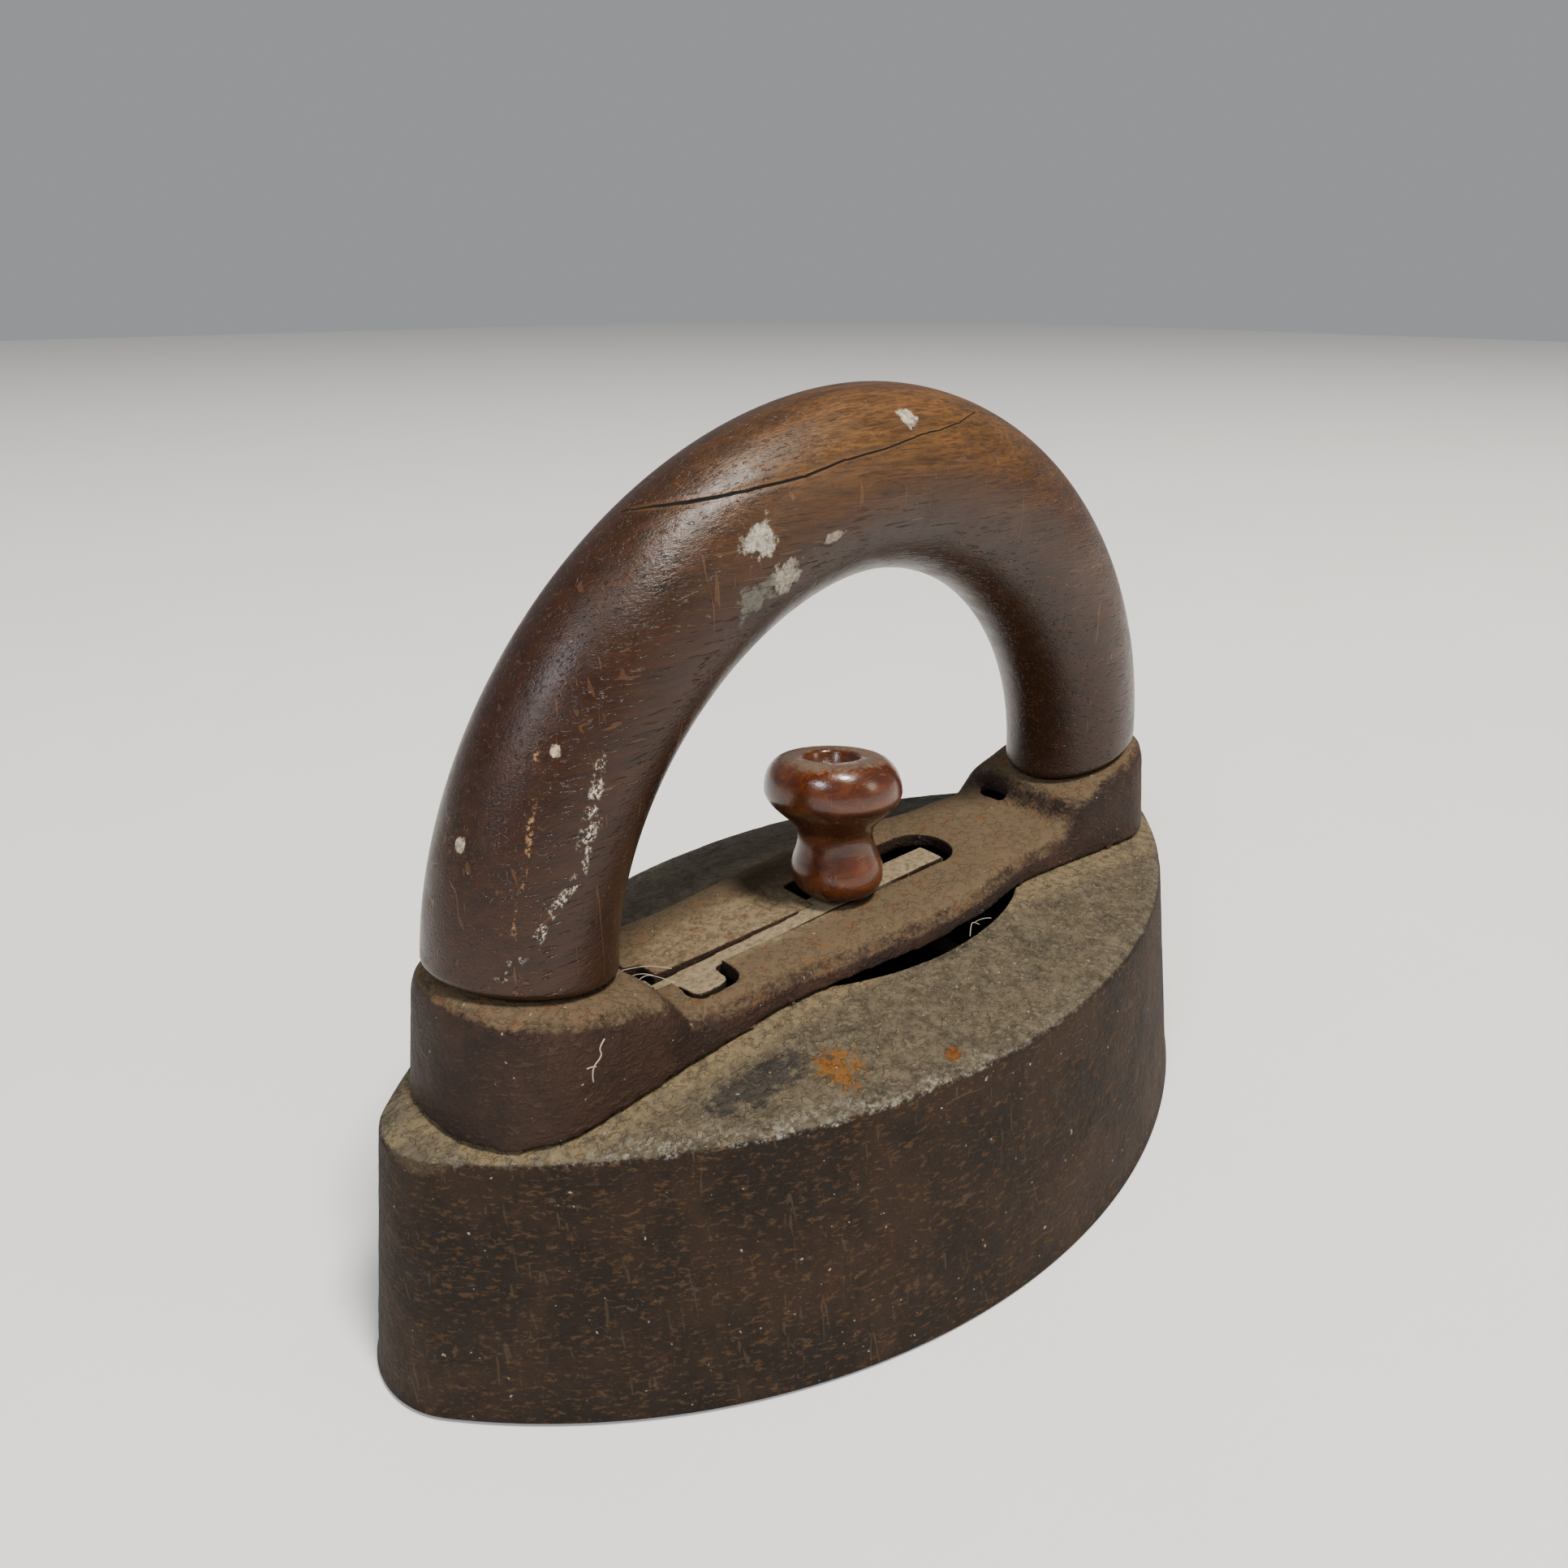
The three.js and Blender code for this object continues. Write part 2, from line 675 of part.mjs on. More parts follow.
// Torsion spring on the pin: a leg under the saddle's ramp, the coils, then a leg up and over the lever.
function latchSpring() {
  const points = [];
  const lean = THREE.MathUtils.degToRad(spring_leg_degrees);
  for (let i = 0; i < 4; i++) {
    const reach = spring_leg * (1 - i / 4);
    const x = spring_radius * Math.cos(lean) + reach * Math.sin(lean);
    const z = spring_radius * Math.sin(lean) - reach * Math.cos(lean);
    points.push(new THREE.Vector3(x, spring_outer_y, z));
  }
  const steps = Math.round(spring_coils * 14);
  for (let i = 0; i <= steps; i++) {
    const angle = lean + 2 * Math.PI * spring_coils * i / steps;
    const y = spring_outer_y - spring_pitch * spring_coils * i / steps;
    points.push(new THREE.Vector3(spring_radius * Math.cos(angle), y, spring_radius * Math.sin(angle)));
  }
  const lever_top = leverTop(pivot_x + spring_radius) - pivot_height + spring_wire / 2 + part_gap;
  points.push(new THREE.Vector3(spring_radius, spring_inner_y, lever_top * 0.5));
  points.push(new THREE.Vector3(spring_radius, spring_inner_y, lever_top));
  points.push(new THREE.Vector3(spring_radius, spring_inner_y - 0.9, lever_top + 0.25));
  points.push(new THREE.Vector3(spring_radius, spring_inner_y - 2.6, lever_top + 0.25));
  const wire = new THREE.Shape();
  wire.absarc(0, 0, spring_wire / 2, 0, 2 * Math.PI);
  const path = new THREE.CatmullRomCurve3(points, false, 'centripetal');
  return new THREE.ExtrudeGeometry(wire, { steps: 72, curveSegments: 3, bevelEnabled: false, extrudePath: path });
}

// ---- knob: drawn standing on z = 0 ----
function knobProfile() {
  const outline = new THREE.Path();
  outline.moveTo(knob_base_radius - 1.6, 0);
  outline.quadraticCurveTo(knob_base_radius, 0.1, knob_base_radius, 1.8);
  outline.bezierCurveTo(
    knob_base_radius, 4.2, knob_neck_radius, 4.4, knob_neck_radius, 7.3,
  );
  outline.bezierCurveTo(
    knob_neck_radius, 10.6, knob_head_radius, 11, knob_head_radius, knob_height - 4.3,
  );
  outline.bezierCurveTo(
    knob_head_radius, knob_height - 1.7, knob_top_radius + 2.2, knob_height, knob_top_radius, knob_height,
  );
  return outline.getPoints(4).map((point) => [point.x, point.y]);
}

function knob() {
  const bore = knob_screw_radius + bore_gap;
  const shelf = knob_height - knob_bore_depth;
  const inside = [[knob_bore_radius + 0.5, knob_height - 0.5], [knob_bore_radius, shelf], [bore, shelf], [bore, 0]];
  const start = knobProfile()[0];
  return turned([...knobProfile(), ...inside, start], 30);
}

// Screw and washer and nut are drawn from the lever's top at z = 0.
function knobScrew() {
  const seat = knob_foot - lever_seat_height + knob_height - knob_bore_depth + part_gap;
  const foot = -lever_thickness - part_gap - nut_height - knob_screw_overhang;
  const top = seat + knob_screw_head_height;
  const screw = turned([
    [0, foot],
    [knob_screw_radius, foot],
    [knob_screw_radius, seat],
    [knob_screw_head_radius, seat],
    [knob_screw_head_radius, seat + knob_screw_head_height * 0.45],
    [knob_screw_head_radius * 0.6, top],
    [0, top],
  ], 24);
  const half = screw_slot_width / 2;
  const far = 2 * knob_screw_head_radius;
  return cut(screw, [box(-far, far, -half, half, top - screw_slot_depth, top + 1)]);
}

function knobWasher() {
  const bore = knob_screw_radius + bore_gap;
  const top = part_gap + knob_washer_thickness;
  const rim = knob_washer_radius;
  return turned([[bore, part_gap], [rim, part_gap], [rim, top], [bore, top], [bore, part_gap]]);
}

function knobNut() {
  const bore = new THREE.CylinderGeometry(knob_screw_radius + bore_gap, knob_screw_radius + bore_gap, 20, 24);
  const hexagon = new THREE.CylinderGeometry(nut_radius, nut_radius, nut_height, 6);
  const middle = -lever_thickness - part_gap - nut_height / 2 - 0.1;
  return cut(hexagon.rotateX(Math.PI / 2).translate(0, 0, middle), [bore.rotateX(Math.PI / 2)]);
}

// ---- materials ----
function finish(color, roughness, metalness) {
  return new THREE.MeshStandardMaterial({ color, roughness, metalness });
}

const castIron = () => finish(0x3a2a22, 0.8, 0.35);
const saddleIron = () => finish(0x4a3a30, 0.75, 0.35);
const dullSteel = () => finish(0x5c554c, 0.55, 0.8);
const darkSteel = () => finish(0x35302c, 0.6, 0.8);
const gripWood = () => finish(0x5a2f18, 0.42, 0);
const knobWood = () => finish(0x6e2a12, 0.22, 0);

// ---- assembly ----
function addPart(parent, name, geometry, material) {
  const mesh = new THREE.Mesh(geometry, material);
  mesh.name = name;
  parent.add(mesh);
  return mesh;
}

const iron = new THREE.Group();
addPart(iron, 'iron_body', slug(), castIron());
addPart(iron, 'front_catch_bar', catchBar(front_bar_x), darkSteel());
addPart(iron, 'rear_catch_bar', catchBar(rear_bar_x), darkSteel());

const handle = new THREE.Group();
iron.add(handle);
addPart(handle, 'handle_saddle', saddle(), saddleIron());
addPart(handle, 'wooden_grip', grip(), gripWood());
for (const [end, side, bar_x] of [['front', 1, front_bar_x], ['rear', -1, rear_bar_x]]) {
  const seat = new THREE.Group();
  seat.position.set(side * seat_x, 0, seat_height);
  seat.rotation.y = -side * seat_tilt;
  handle.add(seat);
  addPart(seat, `${end}_grip_screw`, gripScrew(), dullSteel());
  addPart(seat, `${end}_screw_washer`, gripWasher(), dullSteel());
  addPart(handle, `${end}_hook`, hook(bar_x), darkSteel());
  for (const [hand, across] of [['left', 1], ['right', -1]]) {
    const rivet_mesh = addPart(handle, `${end}_hook_rivet_${hand}`, rivet(), dullSteel());
    const lug_back = hookPlateX(bar_x) - part_gap - hook_lug_thickness;
    rivet_mesh.position.set(lug_back - part_gap, across * rivet_spread, rivetHeight());
  }
}

const pivot = new THREE.Group();
pivot.position.set(pivot_x, 0, pivot_height);
handle.add(pivot);
addPart(pivot, 'lever_pivot_pin', pivotPin(), dullSteel());
addPart(pivot, 'latch_spring', latchSpring(), darkSteel());

const latch = new THREE.Group();
handle.add(latch);
addPart(latch, 'latch_lever', lever(), dullSteel());
const knob_seat = new THREE.Group();
knob_seat.position.set(knob_x, lever_y, lever_seat_height);
knob_seat.rotation.y = lever_tilt;
latch.add(knob_seat);
addPart(knob_seat, 'release_knob', knob(), knobWood()).position.z = knob_foot - lever_seat_height;
addPart(knob_seat, 'knob_screw', knobScrew(), darkSteel());
addPart(knob_seat, 'knob_washer', knobWasher(), darkSteel());
addPart(knob_seat, 'knob_nut', knobNut(), darkSteel());

export default iron;
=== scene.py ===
import json
import math

import bpy
import numpy as np
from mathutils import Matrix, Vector


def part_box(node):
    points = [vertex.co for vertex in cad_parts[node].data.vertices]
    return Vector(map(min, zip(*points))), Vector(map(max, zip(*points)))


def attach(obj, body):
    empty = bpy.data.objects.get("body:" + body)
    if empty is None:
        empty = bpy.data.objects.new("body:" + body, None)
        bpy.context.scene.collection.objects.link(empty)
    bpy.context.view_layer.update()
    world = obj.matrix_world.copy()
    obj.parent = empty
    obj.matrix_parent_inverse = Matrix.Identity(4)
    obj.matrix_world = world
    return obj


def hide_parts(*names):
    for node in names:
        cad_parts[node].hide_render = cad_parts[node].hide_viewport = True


bl_info = {
    "name": "Lift-off handle sad iron",
    "version": (1, 0, 0),
    "blender": (4, 5, 0),
    "location": "View3D > Sidebar > Sad Iron",
    "description": "Builds the looks of a double-pointed flat iron with a lift-off wooden handle",
    "category": "Object",
}

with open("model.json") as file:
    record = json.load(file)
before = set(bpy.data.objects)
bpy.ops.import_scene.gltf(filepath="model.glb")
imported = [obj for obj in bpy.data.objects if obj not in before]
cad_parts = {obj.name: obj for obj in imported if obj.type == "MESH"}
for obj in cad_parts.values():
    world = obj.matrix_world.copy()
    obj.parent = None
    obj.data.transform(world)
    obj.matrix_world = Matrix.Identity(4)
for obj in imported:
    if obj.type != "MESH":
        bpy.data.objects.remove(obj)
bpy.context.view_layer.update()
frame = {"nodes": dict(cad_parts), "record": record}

BODY_NODES = frame["record"]["behaviour"]["bodies"]

MM = 0.001
WELD_GAP = 1e-6

# ---- iron body ----
SOLE_HALF = (80.0 * MM, 43.75 * MM)
SOLE_TIP = 14.0 * MM
TOP_HALF = (75.1 * MM, 37.45 * MM)
TOP_TIP = 10.0 * MM
SOLE_CHAMFER = 0.8 * MM
WALL_HEIGHT = 36.6 * MM
EDGE_ROUND = 0.75 * MM
ROOF_SLOPE = 0.18
ROOF_RUN = 20.5 * MM
POCKET_HALF = (30.0 * MM, 18.7 * MM)
POCKET_CENTRE_X = 3.0 * MM
POCKET_FLOOR = 23.0 * MM
POCKET_LIP = 0.8 * MM
SLUG_COLUMNS = 440
CASTING_DEPTH = 0.22 * MM

# ---- saddle ----
SADDLE_FOOT_HALF = 16.2 * MM
SADDLE_STRAIGHT_HALF = 54 * MM
SADDLE_END_RUN = 16.5 * MM
SADDLE_END_POWER = 2.25
FLANK_START = 7 * MM
FLANK_RUN = 5 * MM
TAPER_START = -48 * MM
TAPER_RUN = 108 * MM
REAR_WIDENING = 0.055
WIDTH_TAPER = 0.13
SADDLE_BULGE = 1.2 * MM
BULGE_X = 12 * MM
BULGE_RUN = 11 * MM
SLOT_FRONT_X = -9 * MM
SLOT_STEP_X = -12.4 * MM
SLOT_ARM_Y = -1.8 * MM
SLOT_NEAR_Y = -5.2 * MM
SLOT_WALL_ABOVE = 38 * MM
WALL_FOUND_WITHIN = 0.1 * MM

# ---- grip ----
GRIP_HALF_SPAN = 55.4 * MM
GRIP_RISE = 54.5 * MM
GRIP_CENTRE_Z = 50.3 * MM
GRIP_POWER = 1.92
GRIP_DEPTH_HALF = 12.15 * MM
GRIP_WIDTH_HALF = 10.35 * MM
SEAT_Z = 52.55 * MM
SEAT_TILT = math.radians(15.3)
FOOT_ROUND = 1.3 * MM
GRIP_COLUMNS = 150

# ---- marks on the grip ----
CRACK_DEPTH = 0.12 * MM
CRACK_WAVER = 0.12 * MM
MARK_REACH = 8

# ---- lever ----
LEVER_TOP_ABOVE = 43.2 * MM
LEVER_RISE = 0.55 * MM
LEVER_RISE_START = -42 * MM
LEVER_RISE_RUN = 34 * MM
LOBE_BESIDE_Y = -5.4 * MM
LOBE_RISE = 0.45 * MM
LOBE_END_X = -32 * MM
LOBE_DRAWN_BACK = 0.6 * MM

# ---- knob ----
KNOB_LEAN = math.radians(3.6)
KNOB_LEAN_TO = (-0.75, 0.66)
KNOB_SHIFT = 0.8 * MM
KNOB_EXTRA_HEIGHT = 1.3 * MM
KNOB_TOP_TILT = math.radians(9)
KNOB_TILT_TO = (0.66, 0.75)
KNOB_LIFT = 0.2 * MM
KNOB_FOOT_RADIUS = 6.85 * MM
KNOB_NECK_RADIUS = 5.45 * MM
KNOB_HEAD_INSET = 0.15 * MM
KNOB_TOP_RADIUS = 6.2 * MM
KNOB_BORE_RADIUS = 3.9 * MM
KNOB_BORE_DEPTH = 3.6 * MM
KNOB_HEAD_ROUND = 5.0 * MM
KNOB_NECK_TOP = 9.5 * MM
KNOB_COLUMNS = 96

# ---- camera ----
CAMERA_AT = (-111.67 * MM, -111.11 * MM, 129.26 * MM)
CAMERA_TOWARDS = (-13.04 * MM, -0.05 * MM, 64.45 * MM)
CAMERA_ROLL = math.radians(0.1)
CAMERA_LENS = 26.70


def shade(red, green, blue):
    """Linear colour from the 0 to 255 values that a paint chart gives."""
    linear = []
    for value in (red, green, blue):
        part = value / 255
        linear.append(part / 12.92 if part <= 0.04045 else ((part + 0.055) / 1.055) ** 2.4)
    return (*linear, 1.0)


# ---- helpers for modelling ----
def clear_selection():
    for thing in list(bpy.context.selected_objects):
        thing.select_set(False)


def make_active(piece):
    clear_selection()
    piece.select_set(True)
    bpy.context.view_layer.objects.active = piece


def wrapped_sheet(name, rows, marks=None):
    """A grid bent so that each row is one ring, welded along the seam and where rings close up."""
    rows = np.asarray(rows, dtype=float)
    count = rows.shape[1]
    clear_selection()
    bpy.ops.mesh.primitive_grid_add(x_subdivisions=count, y_subdivisions=len(rows) - 1, size=1)
    piece = bpy.context.object
    piece.name = name
    piece.data.name = name
    if len(piece.data.vertices) != len(rows) * (count + 1):
        raise RuntimeError(f"the grid for {name} has {len(piece.data.vertices)} points")
    closed = np.concatenate([rows, rows[:, :1]], axis=1)
    piece.data.vertices.foreach_set("co", closed.reshape(-1))
    for label, values in (marks or {}).items():
        values = np.asarray(values, dtype=float)
        values = np.concatenate([values, values[:, :1]], axis=1)
        kind, slot_name = ("FLOAT_VECTOR", "vector") if values.ndim == 3 else ("FLOAT", "value")
        layer = piece.data.attributes.new(label, kind, "POINT")
        layer.data.foreach_set(slot_name, values.reshape(-1))
    while piece.data.uv_layers:
        piece.data.uv_layers.remove(piece.data.uv_layers[0])
    weld(piece, WELD_GAP)
    return piece


def weld(piece, distance):
    make_active(piece)
    bpy.ops.object.mode_set(mode="EDIT")
    bpy.ops.mesh.select_all(action="SELECT")
    bpy.ops.mesh.remove_doubles(threshold=distance)
    bpy.ops.mesh.dissolve_degenerate(threshold=1e-7)
    bpy.ops.mesh.select_all(action="SELECT")
    bpy.ops.mesh.normals_make_consistent(inside=False)
    bpy.ops.object.mode_set(mode="OBJECT")
    bpy.ops.object.shade_smooth()


def apply_modifier(piece, kind, **settings):
    make_active(piece)
    modifier = piece.modifiers.new(kind.title(), kind)
    for name, value in settings.items():
        setattr(modifier, name, value)
    bpy.ops.object.modifier_apply(modifier=modifier.name)


def roughen(piece, size, depth, group=""):
    """Presses a cloudy unevenness into the surface, never outwards."""
    cloud = bpy.data.textures.new(f"Unevenness {piece.name}", "CLOUDS")
    cloud.noise_scale = size
    cloud.noise_depth = 2
    apply_modifier(
        piece, "DISPLACE", texture=cloud, texture_coords="LOCAL", mid_level=1.0, strength=depth,
        vertex_group=group,
    )
    bpy.data.textures.remove(cloud)


def softened(node, name, voxel, rounds, reshape=None):
    """A copy of one frame node, finely remeshed and rubbed down so that its edges look handled."""
    piece = bpy.data.objects.new(name, frame["nodes"][node].data.copy())
    piece.data.name = name
    bpy.context.collection.objects.link(piece)
    weld(piece, WELD_GAP)
    if reshape:
        for vertex in piece.data.vertices:
            vertex.co = reshape(vertex.co)
    apply_modifier(piece, "REMESH", mode="VOXEL", voxel_size=voxel)
    apply_modifier(piece, "SMOOTH", factor=0.5, iterations=rounds)
    make_active(piece)
    bpy.ops.object.shade_smooth()
    return piece


def part_way(value, start, run):
    """How far a value is past start, as a part of the run, 0 to 1."""
    return min(max((value - start) / run, 0), 1)


def hand_over(piece, body, slot_name, material, *nodes):
    """Gives a finished piece its material, hangs it on the body that it rides on and hides the frame nodes
    that it stands in for.
    """
    piece.data.materials.clear()
    piece.data.materials.append(material)
    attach(piece, body)
    if nodes:
        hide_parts(*nodes)


def spaced(points, count):
    """A closed outline's points moved to even steps along it."""
    loop = np.vstack([points, points[:1]])
    steps = np.hypot(*np.diff(loop, axis=0).T)
    along = np.concatenate([[0], np.cumsum(steps)])
    wanted = np.linspace(0, along[-1], count, endpoint=False)
    return np.stack([np.interp(wanted, along, loop[:, 0]), np.interp(wanted, along, loop[:, 1])], axis=1)


def pointed_oval(half_length, half_width, tip, count):
    """Two long arcs that meet in a round tip at each end, from the front tip round."""
    reach = half_length - tip
    bow = (reach**2 + half_width**2 - tip**2) / (2 * (half_width - tip))
    drop = bow - half_width
    turn = math.atan2(drop, reach)
    nose = np.linspace(0, turn, 60)
    side = np.linspace(turn, math.pi / 2, 240)[1:]
    x = np.concatenate([reach + tip * np.cos(nose), bow * np.cos(side)])
    y = np.concatenate([tip * np.sin(nose), bow * np.sin(side) - drop])
    x = np.concatenate([x, -x[-2::-1], -x[1:], x[-2:0:-1]])
    y = np.concatenate([y, y[-2::-1], -y[1:], -y[-2:0:-1]])
    return spaced(np.stack([x, y], axis=1), count)


def ellipse(half_x, half_y, centre_x, count):
    turn = np.linspace(0, 2 * math.pi, 1440, endpoint=False)
    return spaced(np.stack([centre_x + half_x * np.cos(turn), half_y * np.sin(turn)], axis=1), count)


def roof_inset(x, y):
    """How far a point lies inside the edge of the body's roof."""
    reach = TOP_HALF[0] - TOP_TIP
    bow = (reach**2 + TOP_HALF[1] ** 2 - TOP_TIP**2) / (2 * (TOP_HALF[1] - TOP_TIP))
    drop = bow - TOP_HALF[1]
    side = bow - np.hypot(x, np.abs(y) + drop)
    beyond = np.abs(x) - reach
    tip = TOP_TIP - np.hypot(beyond, y)
    in_tip = (beyond > 0) & (np.arctan2(np.abs(y), beyond) < math.atan2(drop, reach))
    return np.where(in_tip, tip, side)


def roof_height(x, y):
    return WALL_HEIGHT + ROOF_SLOPE * np.clip(roof_inset(x, y), 0, ROOF_RUN)


def line_distances(places, line):
    """Distance of each place from a bent line, how far along it is, 0 to 1, and its side, -1 or 1."""
    best = np.full(places.shape[:-1], 1e9)
    where = np.zeros(places.shape[:-1])
    side = np.ones(places.shape[:-1])
    for i, (start, end) in enumerate(zip(line[:-1], line[1:])):
        way = end - start
        part = np.clip(((places - start) @ way) / (way @ way), 0, 1)
        gap = np.linalg.norm(places - start - part[..., None] * way, axis=-1)
        turned = np.sign(np.sum(np.cross(way, places - start) * places * (0, 1, 1), axis=-1))
        nearer = gap < best
        best = np.where(nearer, gap, best)
        where = np.where(nearer, (i + part) / (len(line) - 1), where)
        side = np.where(nearer, turned, side)
    return best, where, side


# ---- helpers for materials ----
class Recipe:
    """Adds nodes to one node tree, each fed from numbers, colours or other nodes' sockets."""

    def __init__(self, tree):
        self.tree = tree

    def node(self, kind, feeds=None, **settings):
        made = self.tree.nodes.new(kind)
        for name, value in settings.items():
            setattr(made, name, value)
        for key, value in (feeds or {}).items():
            if isinstance(value, bpy.types.NodeSocket):
                self.tree.links.new(value, made.inputs[key])
            else:
                made.inputs[key].default_value = value
        return made

    def math(self, operation, first, second=0.0):
        made = self.node("ShaderNodeMath", {0: first, 1: second}, operation=operation)
        made.use_clamp = operation in ("MULTIPLY", "ADD", "MAXIMUM")
        return made.outputs[0]

    def scale(self, place, by):
        made = self.node("ShaderNodeVectorMath", {0: place, 1: by}, operation="MULTIPLY")
        return made.outputs[0]

    def step(self, value, low, high, to_low=0.0, to_high=1.0):
        feeds = {"Value": value, "From Min": low, "From Max": high, "To Min": to_low, "To Max": to_high}
        return self.node("ShaderNodeMapRange", feeds, interpolation_type="SMOOTHSTEP").outputs[0]

    def noise(self, place, size, detail=3.0, roughness=0.55, distortion=0.0):
        """Cloudy noise whose lumps are about as wide as size."""
        feeds = {"Vector": place, "Scale": 1 / size, "Detail": detail, "Roughness": roughness}
        feeds["Distortion"] = distortion
        return self.node("ShaderNodeTexNoise", feeds).outputs[0]

    def mix(self, factor, under, over):
        made = self.node("ShaderNodeMix", {0: factor, 6: under, 7: over}, data_type="RGBA")
        return made.outputs[2]

    def both(self, first, second):
        """Where both masks are, or one mask at some strength."""
        return self.math("MULTIPLY", first, second)

    def tint(self, color, mask, strength, tone):
        """The colour with a tone laid over it where the mask is, at some strength."""
        return self.mix(self.both(mask, strength), color, tone)

    def upward(self, facing):
        """How far the surface looks up, from -1 to 1."""
        return self.node("ShaderNodeSeparateXYZ", {0: facing}).outputs["Z"]

    def group(self, name, feeds):
        return self.node("ShaderNodeGroup", feeds, node_tree=bpy.data.node_groups[name]).outputs

    def attribute(self, name, output="Fac"):
        return self.node("ShaderNodeAttribute", attribute_name=name).outputs[output]


def start_group(name, **inputs):
    group = bpy.data.node_groups.new(name, "ShaderNodeTree")
    for label, kind in inputs.items():
        group.interface.new_socket(name=label, in_out="INPUT", socket_type=f"NodeSocket{kind}")
    return Recipe(group), group.nodes.new("NodeGroupInput").outputs


def finish_group(recipe, **results):
    group = recipe.tree
    for label in results:
        group.interface.new_socket(name=label, in_out="OUTPUT", socket_type="NodeSocketFloat")
    exit_node = group.nodes.new("NodeGroupOutput")
    for label, socket in results.items():
        group.links.new(socket, exit_node.inputs[label])


def make_casting_skin_group():
    """The skin of old cast iron: fine grain, short level dashes, cloudy patches and small rust blooms."""
    recipe, entry = start_group("Casting Skin", Place="Vector")
    place = entry["Place"]
    level = recipe.scale(place, (0.5, 0.5, 1.2))
    dashes = recipe.step(recipe.noise(level, 0.0007, 4.0, 0.65), 0.50, 0.62)
    fine = recipe.noise(place, 0.0011, 5.0, 0.7)
    broad = recipe.noise(place, 0.0035, 4.0, 0.62)
    patches = recipe.step(recipe.noise(place, 0.011, 5.0, 0.62, 0.4), 0.38, 0.66)
    rust = recipe.step(recipe.noise(place, 0.0075, 6.0, 0.7, 0.8), 0.60, 0.72)
    specks = recipe.step(recipe.noise(place, 0.00075, 1.0, 0.4), 0.765, 0.80)
    height = recipe.math("ADD", recipe.both(fine, 0.45), recipe.both(broad, 0.35))
    height = recipe.math("ADD", height, recipe.both(dashes, 0.2))
    finish_group(recipe, Height=height, Dashes=dashes, Patches=patches, Rust=rust, Specks=specks)


def make_settled_dust_group():
    """Where dust settles: faces that look up, in an uneven coat."""
    recipe, entry = start_group("Settled Dust", Place="Vector", Facing="Vector", Steepness="Float")
    up = recipe.upward(entry["Facing"])
    cloud = recipe.noise(entry["Place"], 0.0045, 5.0, 0.65)
    grain = recipe.noise(entry["Place"], 0.0006, 3.0, 0.6)
    blend = recipe.node("ShaderNodeMath", {0: cloud, 1: grain}, operation="ADD").outputs[0]
    offset = recipe.node("ShaderNodeMath", {0: blend, 1: 0.5, 2: up}, operation="MULTIPLY_ADD").outputs[0]
    edge = recipe.node("ShaderNodeMath", {0: entry["Steepness"], 1: 0.35}, operation="ADD").outputs[0]
    cover = recipe.node(
        "ShaderNodeMapRange", {"Value": offset, "From Min": entry["Steepness"], "From Max": edge},
        interpolation_type="SMOOTHSTEP",
    ).outputs[0]
    finish_group(recipe, Cover=cover)


def make_ragged_spot_group():
    """A spot with a ragged edge around one place."""
    inputs = {"Place": "Vector", "Centre": "Vector", "Reach": "Vector", "Raggedness": "Float"}
    recipe, entry = start_group("Ragged Spot", **inputs)
    away = recipe.node("ShaderNodeVectorMath", {0: entry["Place"], 1: entry["Centre"]}, operation="SUBTRACT")
    away = recipe.node("ShaderNodeVectorMath", {0: away.outputs[0], 1: entry["Reach"]}, operation="DIVIDE")
    far = recipe.node("ShaderNodeVectorMath", {0: away.outputs[0]}, operation="LENGTH").outputs["Value"]
    ragged = recipe.noise(entry["Place"], 0.0016, 5.0, 0.65)
    ragged = recipe.node("ShaderNodeMath", {0: ragged, 1: 0.5}, operation="SUBTRACT").outputs[0]
    feeds = {0: ragged, 1: entry["Raggedness"], 2: far}
    total = recipe.node("ShaderNodeMath", feeds, operation="MULTIPLY_ADD").outputs[0]
    finish_group(recipe, Mask=recipe.step(total, 1.1, 0.65))


def make_long_grain_group():
    """Wood that was sawn along X: growth bands, dark pores and fine fibres."""
    recipe, entry = start_group("Long Grain", Place="Vector")
    place = entry["Place"]
    bands = recipe.noise(recipe.scale(place, (0.10, 0.9, 1.0)), 0.0016, 3.0, 0.6, 0.6)
    pores = recipe.step(recipe.noise(recipe.scale(place, (0.07, 1.0, 1.0)), 0.00045, 2.0, 0.6), 0.58, 0.70)
    fibres = recipe.noise(recipe.scale(place, (0.12, 1.0, 1.0)), 0.0003, 3.0, 0.65)
    finish_group(recipe, Bands=bands, Pores=pores, Fibres=fibres)


def make_wear_group():
    """Marks of handling: thin scratches that cross one another and a patchy rubbed polish."""
    recipe, entry = start_group("Handling Marks", Place="Vector")
    place = entry["Place"]
    one_way = recipe.noise(recipe.scale(place, (0.10, 1.3, 0.9)), 0.0009, 1.0, 0.4, 1.2)
    other_way = recipe.noise(recipe.scale(place, (1.2, 0.5, 0.12)), 0.0011, 1.0, 0.4, 1.5)
    first = recipe.step(one_way, 0.695, 0.72)
    second = recipe.step(other_way, 0.70, 0.73)
    rubbed = recipe.step(recipe.noise(place, 0.009, 5.0, 0.6, 0.5), 0.42, 0.62)
    finish_group(recipe, Scratches=recipe.math("MAXIMUM", first, second), Rubbed=rubbed)


def start_material(name):
    material = bpy.data.materials.new(name)
    material.use_nodes = True
    recipe = Recipe(material.node_tree)
    coordinates = recipe.node("ShaderNodeTexCoord").outputs
    return material, recipe, coordinates["Object"], coordinates["Normal"]


